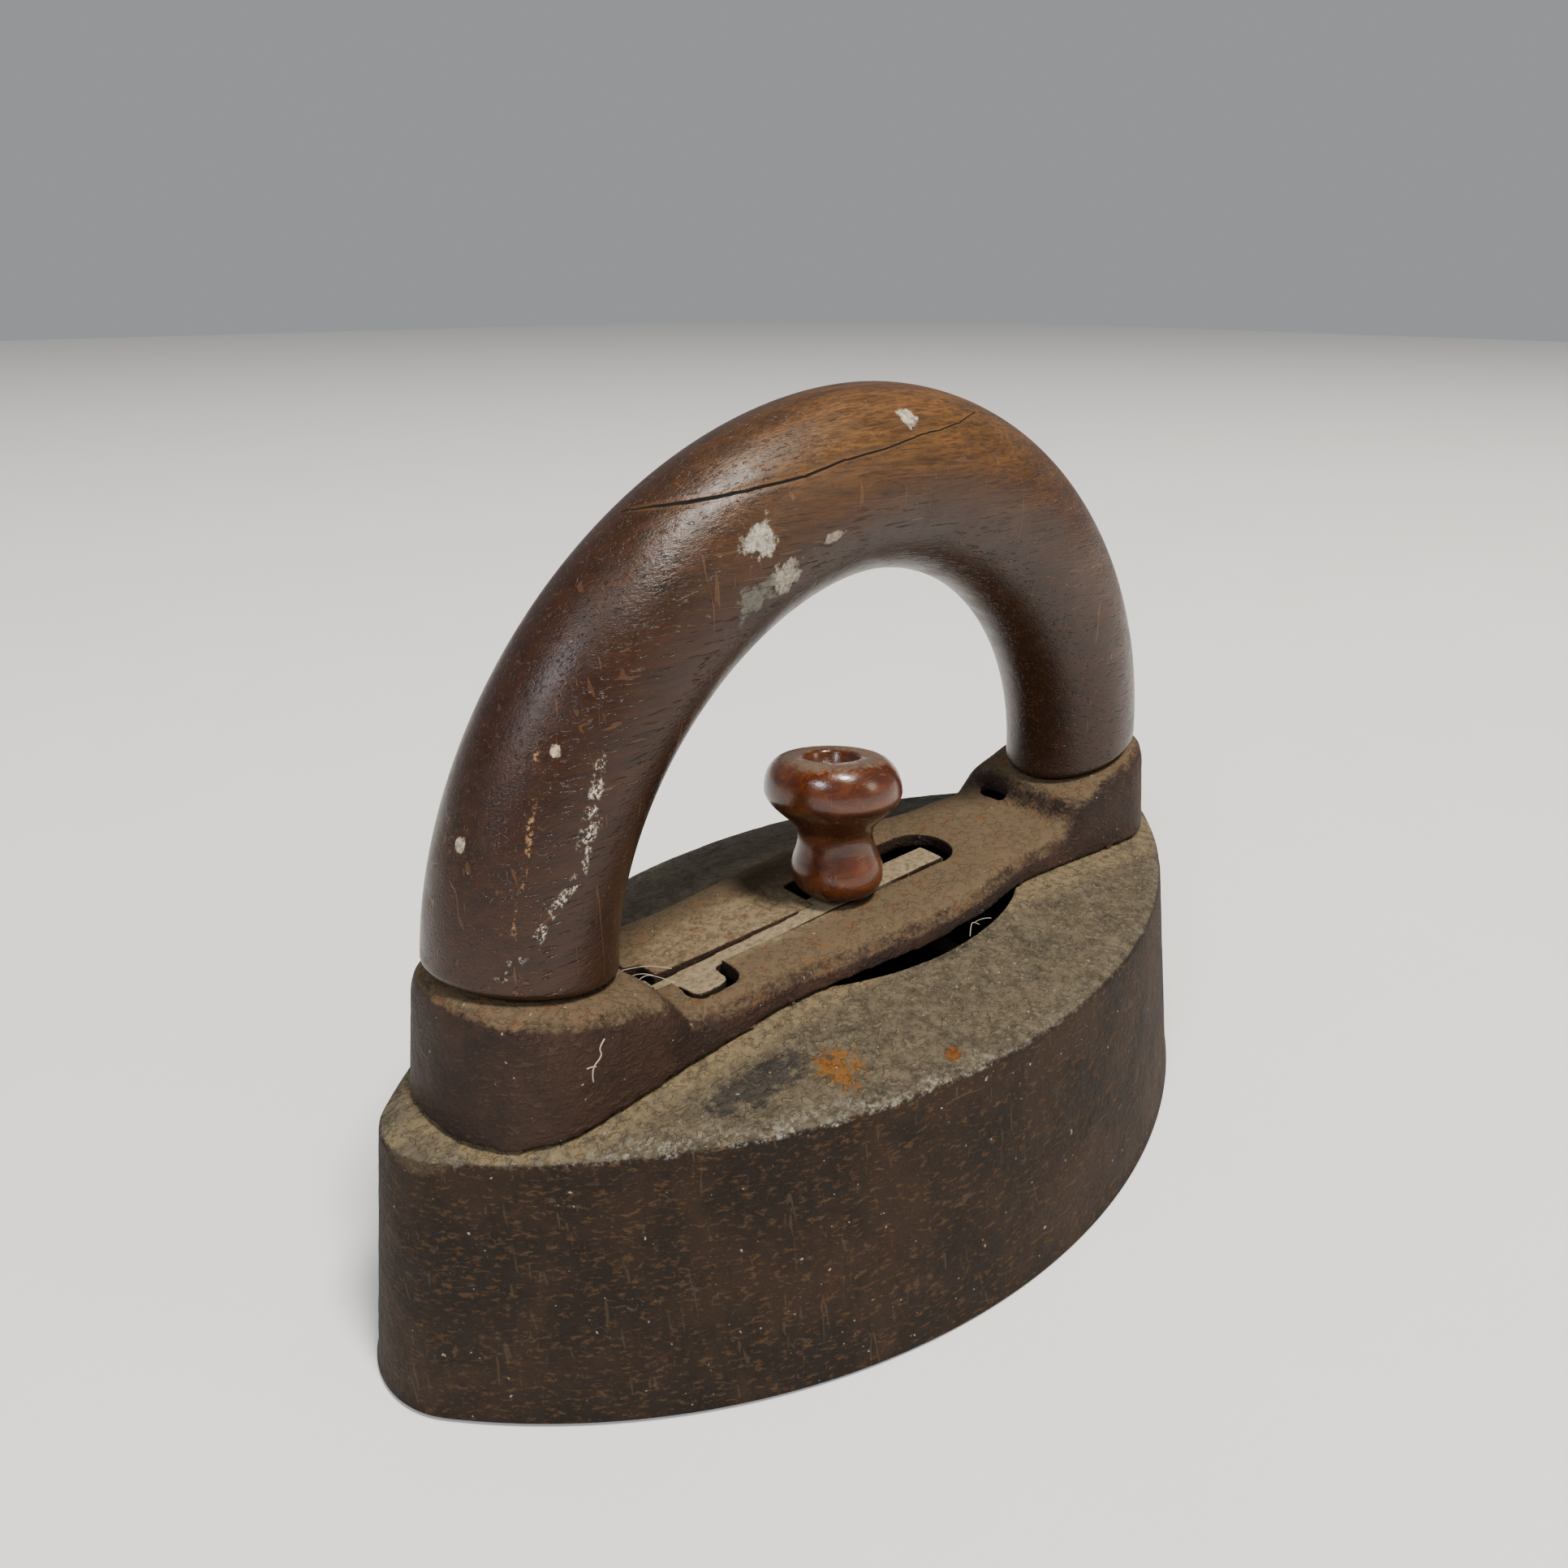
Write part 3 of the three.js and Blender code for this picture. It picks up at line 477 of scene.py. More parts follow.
def finish_material(recipe, color, roughness, height, depth, **fixed):
    links = recipe.tree.links
    shader = recipe.tree.nodes["Principled BSDF"]
    links.new(color, shader.inputs["Base Color"])
    links.new(roughness, shader.inputs["Roughness"])
    bump = recipe.node("ShaderNodeBump", {"Strength": 1.0, "Distance": depth, "Height": height})
    links.new(bump.outputs[0], shader.inputs["Normal"])
    for name, value in fixed.items():
        socket = shader.inputs[name.replace("_", " ")]
        if isinstance(value, bpy.types.NodeSocket):
            links.new(value, socket)
        else:
            socket.default_value = value


def spot(recipe, place, centre, reach, raggedness):
    """Mask of one ragged spot, its centre and reach in millimetres."""
    feeds = {"Place": place, "Raggedness": raggedness}
    feeds["Centre"] = tuple(value * MM for value in centre)
    feeds["Reach"] = tuple(value * MM for value in reach)
    return recipe.group("Ragged Spot", feeds)["Mask"]


# Spots on the body: centre and reach in millimetres, raggedness, strength and tone.
BODY_SPOTS = [
    ((-36.5, -21.9, 38.4), (9.5, 2.8, 3.0), 2.6, 0.65, shade(24, 26, 30)),
    ((-26.8, -25.8, 38.1), (2.9, 3.2, 2.5), 3.6, 0.8, shade(114, 72, 22)),
    ((-12.9, -33.0, 37.3), (1.5, 1.2, 1.2), 2.0, 1.0, shade(104, 64, 26)),
    ((-72.6, -4.5, 36.6), (3.6, 5.0, 2.0), 1.4, 0.25, shade(100, 88, 68)),
]


def browned_iron(dark, light):
    """Matte browned cast iron of the body: a bright roof edge that is partly rubbed bare and partly painted
    glint, a lighter, greyer top that is partly its own tone and partly painted sheen, and dust on top.
    """
    material, recipe, place, facing = start_material("Browned cast iron")
    skin = recipe.group("Casting Skin", {"Place": place})
    marks = recipe.group("Handling Marks", {"Place": place})
    dust = recipe.group("Settled Dust", {"Place": place, "Facing": facing, "Steepness": 1.25})["Cover"]
    edge = recipe.attribute("Edge Distance")
    color = recipe.mix(skin["Patches"], dark, light)
    color = recipe.tint(color, skin["Dashes"], 0.6, shade(78, 57, 38))
    color = recipe.tint(color, skin["Rust"], 0.3, shade(84, 44, 24))
    # Faces that look up take a lighter, greyer tone: partly the roof's own mottled colour, partly painted
    # sheen.
    top = recipe.step(recipe.upward(facing), 0.55, 0.9)
    mottle = recipe.step(recipe.noise(place, 0.0021, 6.0, 0.72), 0.36, 0.64)
    roof_tone_and_sheen = recipe.mix(mottle, shade(40, 37, 31), shade(92, 84, 69))
    roof_tone_and_sheen = recipe.tint(roof_tone_and_sheen, skin["Dashes"], 0.5, shade(112, 101, 82))
    color = recipe.tint(color, top, 0.9, roof_tone_and_sheen)
    color = recipe.tint(color, dust, 0.4, shade(108, 95, 73))
    # Bright band along the roof's edge where it is handled: partly iron rubbed bare, partly painted glint.
    band = recipe.both(recipe.step(edge, -0.9 * MM, 0.1 * MM), recipe.step(edge, 4.4 * MM, 0.3 * MM))
    chips = recipe.step(recipe.noise(place, 0.0008, 5.0, 0.7), 0.46, 0.64, 0.0, 0.75)
    along = recipe.node("ShaderNodeSeparateXYZ", {0: place}).outputs["X"]
    handled = recipe.both(recipe.step(along, -68 * MM, -52 * MM), recipe.step(along, 10 * MM, -25 * MM))
    patchy = recipe.step(recipe.noise(place, 0.0045, 4.0, 0.6), 0.34, 0.62)
    patchy = recipe.both(patchy, recipe.step(handled, 0.0, 1.0, 0.3, 1.0))
    band = recipe.both(band, patchy)
    color = recipe.mix(recipe.both(band, chips), color, shade(150, 147, 136))
    beside = recipe.step(recipe.attribute("Saddle Distance"), 2.6 * MM, 0.2 * MM)
    fillet = recipe.both(beside, top)
    fillet = recipe.both(fillet, recipe.step(recipe.noise(place, 0.0019, 5.0, 0.7), 0.36, 0.58))
    color = recipe.tint(color, fillet, 0.75, shade(120, 104, 76))
    for centre, reach, raggedness, strength, tone in BODY_SPOTS:
        color = recipe.tint(color, spot(recipe, place, centre, reach, raggedness), strength, tone)
    color = recipe.tint(color, marks["Scratches"], 0.25, shade(96, 80, 62))
    color = recipe.tint(color, skin["Specks"], 0.7, shade(160, 150, 136))
    roughness = recipe.step(skin["Height"], 0.2, 0.8, 0.62, 0.86)
    finish_material(recipe, color, roughness, skin["Height"], 0.0014, Metallic=0.1, Specular_IOR_Level=0.18)
    return material


def dusty_saddle_iron():
    """Purple-brown cast iron of the saddle under a beige coat of dust."""
    material, recipe, place, facing = start_material("Dusty saddle iron")
    skin = recipe.group("Casting Skin", {"Place": place})
    dust = recipe.group("Settled Dust", {"Place": place, "Facing": facing, "Steepness": 1.05})["Cover"]
    color = recipe.mix(skin["Patches"], shade(33, 22, 17), shade(50, 33, 24))
    color = recipe.tint(color, skin["Dashes"], 0.22, shade(80, 62, 46))
    color = recipe.tint(color, skin["Rust"], 0.45, shade(84, 46, 24))
    color = recipe.tint(color, dust, 0.72, shade(102, 86, 64))
    middle = spot(recipe, place, (-17, 0.5, 45), (24, 7.5, 4), 0.9)
    middle = recipe.both(middle, recipe.step(recipe.noise(place, 0.0011, 5.0, 0.7), 0.3, 0.6))
    middle = recipe.both(middle, recipe.both(dust, 0.8))
    color = recipe.mix(middle, color, shade(128, 112, 86))
    rusty = recipe.both(dust, recipe.step(recipe.noise(place, 0.0028, 4.0, 0.6), 0.56, 0.68))
    color = recipe.tint(color, rusty, 0.5, shade(106, 66, 34))
    color = recipe.tint(color, skin["Specks"], 0.7, shade(150, 138, 116))
    roughness = recipe.step(dust, 0.0, 1.0, 0.62, 0.92)
    finish_material(recipe, color, roughness, skin["Height"], 0.0010, Metallic=0.1, Specular_IOR_Level=0.2)
    return material


def plain_steel(name, dark, light, dusty):
    """Dull steel of the fittings, patchy dark and light, with rust, scratches and dust on top."""
    material, recipe, place, facing = start_material(name)
    skin = recipe.group("Casting Skin", {"Place": place})
    marks = recipe.group("Handling Marks", {"Place": place})
    dust = recipe.group("Settled Dust", {"Place": place, "Facing": facing, "Steepness": 0.95})["Cover"]
    color = recipe.mix(skin["Patches"], dark, light)
    color = recipe.tint(color, skin["Rust"], 0.6, shade(110, 66, 36))
    color = recipe.tint(color, marks["Scratches"], 0.5, shade(150, 142, 130))
    coat = recipe.step(recipe.noise(place, 0.0009, 5.0, 0.7), 0.3, 0.62)
    coated = recipe.mix(coat, shade(112, 97, 74), shade(158, 142, 113))
    color = recipe.mix(recipe.both(dust, dusty), color, coated)
    roughness = recipe.step(dust, 0.0, 1.0, 0.42, 0.88)
    finish_material(recipe, color, roughness, skin["Height"], 0.00016, Metallic=0.6)
    return material


def grip_varnish(dark, light):
    """Old brown varnish on the grip: dark at the feet, rubbed golden on top, cracked with painted shade in
    the crack, and marked.
    """
    material, recipe, place, _ = start_material("Worn grip varnish")
    grain = recipe.group("Long Grain", {"Place": place})
    marks = recipe.group("Handling Marks", {"Place": place})
    straight = recipe.attribute("Straightened", "Vector")
    worn = recipe.attribute("Rubbed Bare")
    crack = recipe.attribute("Crack")
    chalk = recipe.attribute("Chalk")
    tan_marks = recipe.attribute("Tan Marks")
    color = recipe.mix(recipe.step(grain["Bands"], 0.25, 0.75), dark, light)
    broken = recipe.step(grain["Fibres"], 0.36, 0.60)
    bare = recipe.both(worn, recipe.step(broken, 0.0, 1.0, 0.45, 1.0))
    gold = recipe.mix(recipe.step(grain["Bands"], 0.3, 0.7), shade(70, 45, 15), shade(98, 64, 25))
    color = recipe.mix(bare, color, gold)
    color = recipe.tint(color, grain["Pores"], 0.45, shade(19, 10, 6))
    color = recipe.tint(color, marks["Scratches"], 0.22, shade(110, 78, 50))
    rim = recipe.step(crack, 3.8, 1.6)
    color = recipe.tint(color, rim, 0.25, shade(112, 76, 40))
    # The split is painted near black: painted shade in the crack's gap.
    across = recipe.math("ABSOLUTE", recipe.attribute("Crack Side"))
    split = recipe.both(recipe.step(across, 1.25, 0.75), recipe.step(crack, 7.0, 5.0))
    color = recipe.mix(split, color, shade(4, 2, 1))
    flaky = recipe.step(recipe.noise(place, 0.00045, 4.0, 0.7), 0.47, 0.58)
    skipping = recipe.step(recipe.noise(straight, 0.0021, 2.0, 0.5), 0.44, 0.54)
    flaky = recipe.both(flaky, skipping)
    streak = recipe.both(recipe.step(chalk, 1.5, 0.5), flaky)
    color = recipe.mix(streak, color, shade(176, 168, 152))
    tan_streak = recipe.both(recipe.step(tan_marks, 1.6, 0.6), flaky)
    color = recipe.mix(tan_streak, color, shade(128, 98, 66))
    for centre, reach, tone in GRIP_SPOTS:
        mask = spot(recipe, straight, straighten(*centre), reach, 3.2)
        flecks = recipe.step(recipe.noise(place, 0.0007, 4.0, 0.7), 0.3, 0.7)
        shaded = recipe.mix(flecks, shade(96, 90, 78), tone)
        color = recipe.tint(color, mask, 0.85, shaded)
    base_rough = recipe.step(marks["Rubbed"], 0.0, 1.0, 0.29, 0.38)
    roughness = recipe.math("ADD", base_rough, recipe.both(bare, 0.16))
    roughness = recipe.math("ADD", roughness, recipe.both(split, 0.6))
    roughness = recipe.math("ADD", roughness, recipe.both(streak, 0.35))
    height = recipe.both(grain["Fibres"], 0.45)
    hollow = recipe.both(recipe.math("MAXIMUM", grain["Pores"], marks["Scratches"]), 0.5)
    height = recipe.math("SUBTRACT", height, hollow)
    lumps = recipe.both(recipe.noise(place, 0.0045, 3.0, 0.5), 0.9)
    height = recipe.node("ShaderNodeMath", {0: height, 1: lumps}, operation="ADD").outputs[0]
    coat = recipe.step(split, 0.0, 1.0, 0.04, 0.0)
    finish_material(
        recipe, color, roughness, height, 0.00016, Coat_Weight=coat, Coat_Roughness=0.25,
        Specular_IOR_Level=0.3,
    )
    return material


def knob_varnish(dark, light):
    """Glossy red-brown varnish of the turned knob, with a dusty top and painted shade on the underside of
    the head.
    """
    material, recipe, place, facing = start_material("Glossy knob varnish")
    grain = recipe.group("Long Grain", {"Place": place})
    marks = recipe.group("Handling Marks", {"Place": place})
    up = recipe.upward(facing)
    color = recipe.mix(recipe.step(grain["Bands"], 0.35, 0.65), dark, light)
    color = recipe.tint(color, grain["Pores"], 0.25, shade(30, 12, 6))
    # Faces that look down are darkened: painted shade under the head.
    under = recipe.step(up, -0.1, -0.55)
    color = recipe.tint(color, under, 0.6, shade(17, 7, 4))
    color = recipe.tint(color, marks["Scratches"], 0.35, shade(120, 70, 40))
    dust = recipe.group("Settled Dust", {"Place": place, "Facing": facing, "Steepness": 1.28})["Cover"]
    color = recipe.tint(color, dust, 0.88, shade(92, 80, 64))
    gloss = recipe.step(marks["Rubbed"], 0.0, 1.0, 0.2, 0.3)
    roughness = recipe.math("ADD", gloss, recipe.both(dust, 0.6))
    coat = recipe.step(dust, 0.0, 0.6, 0.25, 0.0)
    finish_material(
        recipe, color, roughness, grain["Fibres"], 0.00004, Coat_Weight=coat, Coat_Roughness=0.12,
        Specular_IOR_Level=0.4,
    )
    return material


# ---- the iron's body ----
def slug_rows():
    """Rings from the middle of the sole out, up the wall, over the roof and down into the pocket."""
    rows = []
    edge = []

    def add(outline, height, from_edge):
        rows.append(np.column_stack([outline, np.broadcast_to(height, len(outline))]))
        edge.append(np.broadcast_to(from_edge, len(outline)))

    def wall_outline(height, inset):
        part = height / WALL_HEIGHT
        half_length = SOLE_HALF[0] + (TOP_HALF[0] - SOLE_HALF[0]) * part - inset
        half_width = SOLE_HALF[1] + (TOP_HALF[1] - SOLE_HALF[1]) * part - inset
        tip = SOLE_TIP + (TOP_TIP - SOLE_TIP) * part - inset
        return pointed_oval(half_length, half_width, tip, SLUG_COLUMNS)

    sole = wall_outline(0, SOLE_CHAMFER)
    add(sole * (1, 0), 0, -WALL_HEIGHT)
    for part in (0.5, 0.85, 1):
        add(sole * (1, part), 0, -WALL_HEIGHT)
    top_of_wall = WALL_HEIGHT - EDGE_ROUND
    for height in np.linspace(SOLE_CHAMFER, top_of_wall, 34):
        add(wall_outline(height, 0), height, height - WALL_HEIGHT)
    for turn in np.linspace(0, math.pi / 2, 5)[1:]:
        inset = EDGE_ROUND * (1 - math.cos(turn))
        height = top_of_wall + EDGE_ROUND * math.sin(turn)
        add(wall_outline(WALL_HEIGHT, inset), height, inset * 0.5)
    outer = wall_outline(WALL_HEIGHT, EDGE_ROUND)
    inner = ellipse(POCKET_HALF[0] + POCKET_LIP, POCKET_HALF[1] + POCKET_LIP, POCKET_CENTRE_X, SLUG_COLUMNS)
    for part in np.linspace(0, 1, 34)[1:]:
        outline = outer + (inner - outer) * part
        height = roof_height(outline[:, 0], outline[:, 1])
        add(outline, height, roof_inset(outline[:, 0], outline[:, 1]))
    plateau = WALL_HEIGHT + ROOF_SLOPE * ROOF_RUN
    for turn in np.linspace(0, math.pi / 2, 5)[1:]:
        grow = POCKET_LIP * (1 - math.sin(turn))
        outline = ellipse(POCKET_HALF[0] + grow, POCKET_HALF[1] + grow, POCKET_CENTRE_X, SLUG_COLUMNS)
        add(outline, plateau - POCKET_LIP * (1 - math.cos(turn)), ROOF_RUN)
    pocket = ellipse(*POCKET_HALF, POCKET_CENTRE_X, SLUG_COLUMNS)
    for height in np.linspace(plateau - 2 * POCKET_LIP, POCKET_FLOOR + POCKET_LIP, 12):
        add(pocket, height, ROOF_RUN)
    centre = np.array([POCKET_CENTRE_X, 0])
    for part in (0.97, 0.6, 0):
        add(centre + (pocket - centre) * part, POCKET_FLOOR, ROOF_RUN)
    places = np.array(rows)
    beyond = ((np.abs(places[..., 0]) - SADDLE_STRAIGHT_HALF) / SADDLE_END_RUN).clip(0)
    end = np.clip(1 - beyond**SADDLE_END_POWER, 0, 1)
    beside = np.abs(places[..., 1]) - SADDLE_FOOT_HALF * end ** (1 / SADDLE_END_POWER)
    return rows, {"Edge Distance": edge, "Saddle Distance": beside}


def build_iron_body(settings):
    rows, marks = slug_rows()
    piece = wrapped_sheet("cast_iron_body", rows, marks)
    free = piece.vertex_groups.new(name="Above the sole")
    raised = [v.index for v in piece.data.vertices if v.co.z > 1.2 * MM]
    free.add(raised, 1.0, "REPLACE")
    roughen(piece, size=7 * MM, depth=settings.casting_depth, group=free.name)
    roughen(piece, size=1.6 * MM, depth=settings.casting_depth * 0.45, group=free.name)
    skin = browned_iron(settings.iron_dark, settings.iron_light)
    hand_over(piece, "iron", "slug_iron", skin, "iron_body")


# ---- the saddle ----
def saddle_reshaped(place):
    """Tapers and bulges the saddle's flanks, and draws the walls of the lever's slot closer to the lever."""
    x, y, z = place
    flank = part_way(abs(y), FLANK_START, FLANK_RUN)
    taper = REAR_WIDENING - WIDTH_TAPER * part_way(x, TAPER_START, TAPER_RUN)
    if z > SLOT_WALL_ABOVE and x < SLOT_FRONT_X:
        if abs(y - SLOT_ARM_Y) < WALL_FOUND_WITHIN:
            y -= 0.5 * MM
        if abs(y - SLOT_NEAR_Y) < WALL_FOUND_WITHIN:
            y += 0.4 * MM
        if abs(x - SLOT_STEP_X) < WALL_FOUND_WITHIN and -2.5 * MM < y < 5.5 * MM:
            x += 3.7 * MM
    bulge = SADDLE_BULGE * math.exp(-(((x - BULGE_X) / BULGE_RUN) ** 2))
    return Vector((x, y * (1 + flank * taper) + math.copysign(flank * bulge, y), z))


def build_saddle(settings):
    piece = softened("handle_saddle", "cast_saddle", voxel=0.4 * MM, rounds=9, reshape=saddle_reshaped)
    ramps = piece.vertex_groups.new(name="Ramps")
    for vertex in piece.data.vertices:
        x, y, z = (abs(value) for value in vertex.co)
        if 35 * MM < x < 49 * MM and y > 7.5 * MM and z > 40.5 * MM:
            ramps.add([vertex.index], 1.0, "REPLACE")
    apply_modifier(piece, "SMOOTH", factor=0.5, iterations=70, vertex_group=ramps.name)
    roughen(piece, size=5 * MM, depth=settings.casting_depth)
    roughen(piece, size=1.4 * MM, depth=settings.casting_depth * 0.4)
    hand_over(piece, "handle", "saddle_iron", dusty_saddle_iron(), "handle_saddle")


# ---- the grip ----
def arch_centre(turn):
    c, s = math.cos(turn), math.sin(turn)
    x = GRIP_HALF_SPAN * math.copysign(abs(c) ** (2 / GRIP_POWER), c)
    return x, GRIP_CENTRE_Z + GRIP_RISE * math.copysign(abs(s) ** (2 / GRIP_POWER), s)


def grip_place(turn, around, thick=1.0):
    """A place on the grip, by its turn along the arch and around the section, where 90 degrees is -Y."""
    x, z = arch_centre(turn)
    ax, az = arch_centre(turn - 0.003)
    bx, bz = arch_centre(turn + 0.003)
    length = math.hypot(ax - bx, az - bz)
    way_x, way_z = (ax - bx) / length, (az - bz) / length
    out = thick * GRIP_DEPTH_HALF * math.cos(around)
    across = -thick * GRIP_WIDTH_HALF * math.sin(around)
    return x - way_z * out, across, z + way_x * out


def above_seat(place):
    """Height of a place over the seat that its end of the grip stands on."""
    side = math.copysign(1, place[0])
    lift = place[2] - SEAT_Z
    return lift * math.cos(SEAT_TILT) - side * math.sin(SEAT_TILT) * (place[0] - side * GRIP_HALF_SPAN)


def turn_at_seat(around, rear, height):
    """Where along the arch a line at one place round the section comes down to a height over the seat."""
    low, high = (math.pi + 0.35, math.pi * 0.72) if rear else (-0.35, math.pi * 0.28)
    for _ in range(26):
        middle = (low + high) / 2
        if above_seat(grip_place(middle, around)) < height:
            low = middle
        else:
            high = middle
    return (low + high) / 2


ARCH_LENGTH = 0.96 * MM


def straighten(arch_degrees, around_degrees):
    """Where a place on the grip would be, in millimetres, were the grip pulled straight."""
    around = math.radians(around_degrees)
    side = GRIP_WIDTH_HALF * math.sin(around) / MM
    return (arch_degrees * ARCH_LENGTH / MM, side, GRIP_DEPTH_HALF * math.cos(around) / MM)


# Places on the grip are degrees along its arch, then degrees round its section from outside towards -Y.
CRACK_LINE = [
    (124, 3), (123, 12), (121.8, 21), (120, 31), (117.5, 41), (114.6, 49), (111, 55), (107.6, 59.5),
    (104, 62), (99.5, 63.6), (95, 63.5), (89.5, 61), (84, 56), (79.5, 47.5), (75.5, 36),
]
CHALK_LINE = [(146.5, 75), (153.6, 84.5), (160.4, 87.5), (163.4, 79), (168.3, 70), (171.7, 54)]
TAN_LINE = [(148.8, 42), (153.6, 51), (158.5, 56.5), (163, 56.5), (167.4, 57.5)]
GRIP_SPOTS = [
    ((116.5, 73.6), (2.3, 1.4, 2.0), shade(176, 170, 156)),
    ((115.2, 104), (2.4, 1.5, 2.0), shade(160, 152, 138)),
    ((120.4, 99.6), (3.0, 1.4, 2.0), shade(64, 66, 62)),
    ((89, 47.4), (1.4, 1.1, 1.2), shade(190, 180, 162)),
    ((106.5, 100), (2.6, 0.35, 0.6), shade(138, 126, 112)),
    ((148.2, 52), (0.6, 0.6, 0.6), shade(196, 176, 146)),
    ((159.9, 16.5), (0.7, 0.6, 0.7), shade(190, 176, 150)),
]


def grip_foot(rear, arounds):
    """Rings of one end of the grip, from the middle of its flat foot out to its rounded edge."""
    rings = [(0.0, 0), (0.6, 0), (0.86, 0)]
    rings += [(1 - (1 - rise) ** 2 * 0.11, rise) for rise in (0.0, 0.12, 0.4, 0.75)]
    rows, turns = [], []
    for thick, rise in rings:
        height = FOOT_ROUND * rise
        axis = Vector(grip_place(turn_at_seat(math.pi / 2, rear, height), 0, 0))
        axis.y = 0
        turn_row = [turn_at_seat(around, rear, height) for around in arounds]
        skin = [Vector(grip_place(turn, around)) for turn, around in zip(turn_row, arounds)]
        rows.append([tuple(axis + (place - axis) * thick) for place in skin])
        turns.append(turn_row)
    return rows, turns


def grip_grid():
    """Places of the grip's surface, ring by ring from its rear foot to its front foot, and their degrees."""
    arounds = np.linspace(0, 2 * math.pi, GRIP_COLUMNS, endpoint=False)
    rear_ends = [turn_at_seat(around, True, FOOT_ROUND) for around in arounds]
    front_ends = [turn_at_seat(around, False, FOOT_ROUND) for around in arounds]
    parts = np.concatenate([
        np.linspace(0.0, 0.20, 60), np.linspace(0.20, 0.30, 20)[1:], np.linspace(0.30, 0.62, 150)[1:],
        np.linspace(0.62, 1.0, 70)[1:],
    ])
    turns = [[rear + (front - rear) * part for rear, front in zip(rear_ends, front_ends)] for part in parts]
    rows = [[grip_place(turn, around) for turn, around in zip(turn_row, arounds)] for turn_row in turns]
    rear_rows, rear_turns = grip_foot(True, arounds)
    front_rows, front_turns = grip_foot(False, arounds)
    rows = np.array(rear_rows + rows + front_rows[::-1])
    turns = np.array(rear_turns + turns + front_turns[::-1])
    return rows, np.degrees(turns), np.degrees(np.broadcast_to(arounds, turns.shape))


def line_on_grip(points):
    return [np.array(straighten(*point)) * MM for point in points]


def soft_patch(arch, around, middle, spread):
    """Mask of a soft patch on the grip, its middle and spread in degrees along and round it."""
    return np.exp(-(((arch - middle[0]) / spread[0]) ** 2) - ((around - middle[1]) / spread[1]) ** 2)


def build_grip(settings):
    rows, arch, around = grip_grid()
    sine, cosine = np.sin(np.radians(around)), np.cos(np.radians(around))
    straight = np.stack([arch * ARCH_LENGTH, GRIP_WIDTH_HALF * sine, GRIP_DEPTH_HALF * cosine], axis=-1)
    waver = CRACK_WAVER * np.sin(arch * 0.45)
    shifted = straight + np.stack([waver * 0, waver, -waver * 0.5], axis=-1)
    crack_line = line_on_grip(CRACK_LINE)
    gap, along, _ = line_distances(shifted, crack_line)
    width = np.interp(along, [0, 0.2, 0.5, 0.75, 1], [0.14, 0.26, 0.17, 0.12, 0.09]) * MM
    crack = np.clip(gap / width, 0, MARK_REACH)
    before_start = crack_line[0] + (crack_line[0] - crack_line[1]) * 2
    past_end = crack_line[-1] + (crack_line[-1] - crack_line[-2]) * 2
    run_on_gap, _, side = line_distances(shifted, [before_start, *crack_line[1:-1], past_end])
    crack_side = run_on_gap * side / width
    chalk_gap, chalk_along, _ = line_distances(shifted, line_on_grip(CHALK_LINE))
    chalk_width = np.interp(chalk_along, [0, 0.2, 0.5, 0.8, 1], [0.4, 1.0, 0.55, 0.6, 1.1]) * MM
    tan_gap, _, _ = line_distances(shifted, line_on_grip(TAN_LINE))
    folded = np.where(around > 180, around - 360, around)
    crown = soft_patch(arch, folded, (92, 44), (24, 40))
    shoulder = soft_patch(arch, folded, (60, 20), (30, 60))
    marks = {
        "Straightened": straight,
        "Crack": crack,
        "Crack Side": np.clip(crack_side, -MARK_REACH, MARK_REACH),
        "Chalk": np.clip(chalk_gap / chalk_width, 0, MARK_REACH),
        "Tan Marks": np.clip(tan_gap / (0.3 * MM), 0, MARK_REACH),
        "Rubbed Bare": np.clip(1.15 * crown + 0.45 * shoulder, 0, 1),
    }
    sunk = np.clip(1.6 - crack * 0.5, 0, 1) * settings.crack_depth
    turn = np.radians(arch)
    inward = np.stack([-cosine * np.cos(turn), sine, -cosine * np.sin(turn)], axis=-1)
    piece = wrapped_sheet("bentwood_grip", rows + inward * sunk[..., None], marks)
    varnish = grip_varnish(settings.grip_dark, settings.grip_light)
    hand_over(piece, "handle", "grip_wood", varnish, "wooden_grip")


# ---- the knob ----
def knob_profile(height, head):
    """Outline of the turned knob from its foot up and into the bore on top, as radius and height."""
    foot, top, bore, waist = KNOB_FOOT_RADIUS, KNOB_TOP_RADIUS, KNOB_BORE_RADIUS, KNOB_NECK_RADIUS * 1.03
    outline = [(0, 0), (foot * 0.8, 0)]
    stations = [(0.86, 0.25), (0.93, 0.8), (0.985, 1.8), (1.0, 2.9), (0.985, 3.9), (0.93, 5.1), (0.86, 6.3)]
    outline += [(foot * part, up * MM) for part, up in stations]
    outline += [(waist, 7.5 * MM), (KNOB_NECK_RADIUS, 8.6 * MM), (waist, KNOB_NECK_TOP)]
    low_head = height - KNOB_HEAD_ROUND
    for part in np.linspace(0.04, 1, 26):
        ease = min(((1 - math.cos(part * math.pi)) / 2) ** 0.82, 1)
        outline.append((waist + (head - waist) * ease, KNOB_NECK_TOP + (low_head - KNOB_NECK_TOP) * part))
    for turn in np.linspace(0.1, math.pi / 2, 14):
        radius = top + (head - top) * math.cos(turn)
        outline.append((radius, low_head + KNOB_HEAD_ROUND * math.sin(turn)))
    floor = height - KNOB_BORE_DEPTH
    outline += [(bore + 0.5 * MM, height), (bore, height - 0.5 * MM), (bore, floor), (0, floor)]
    return outline


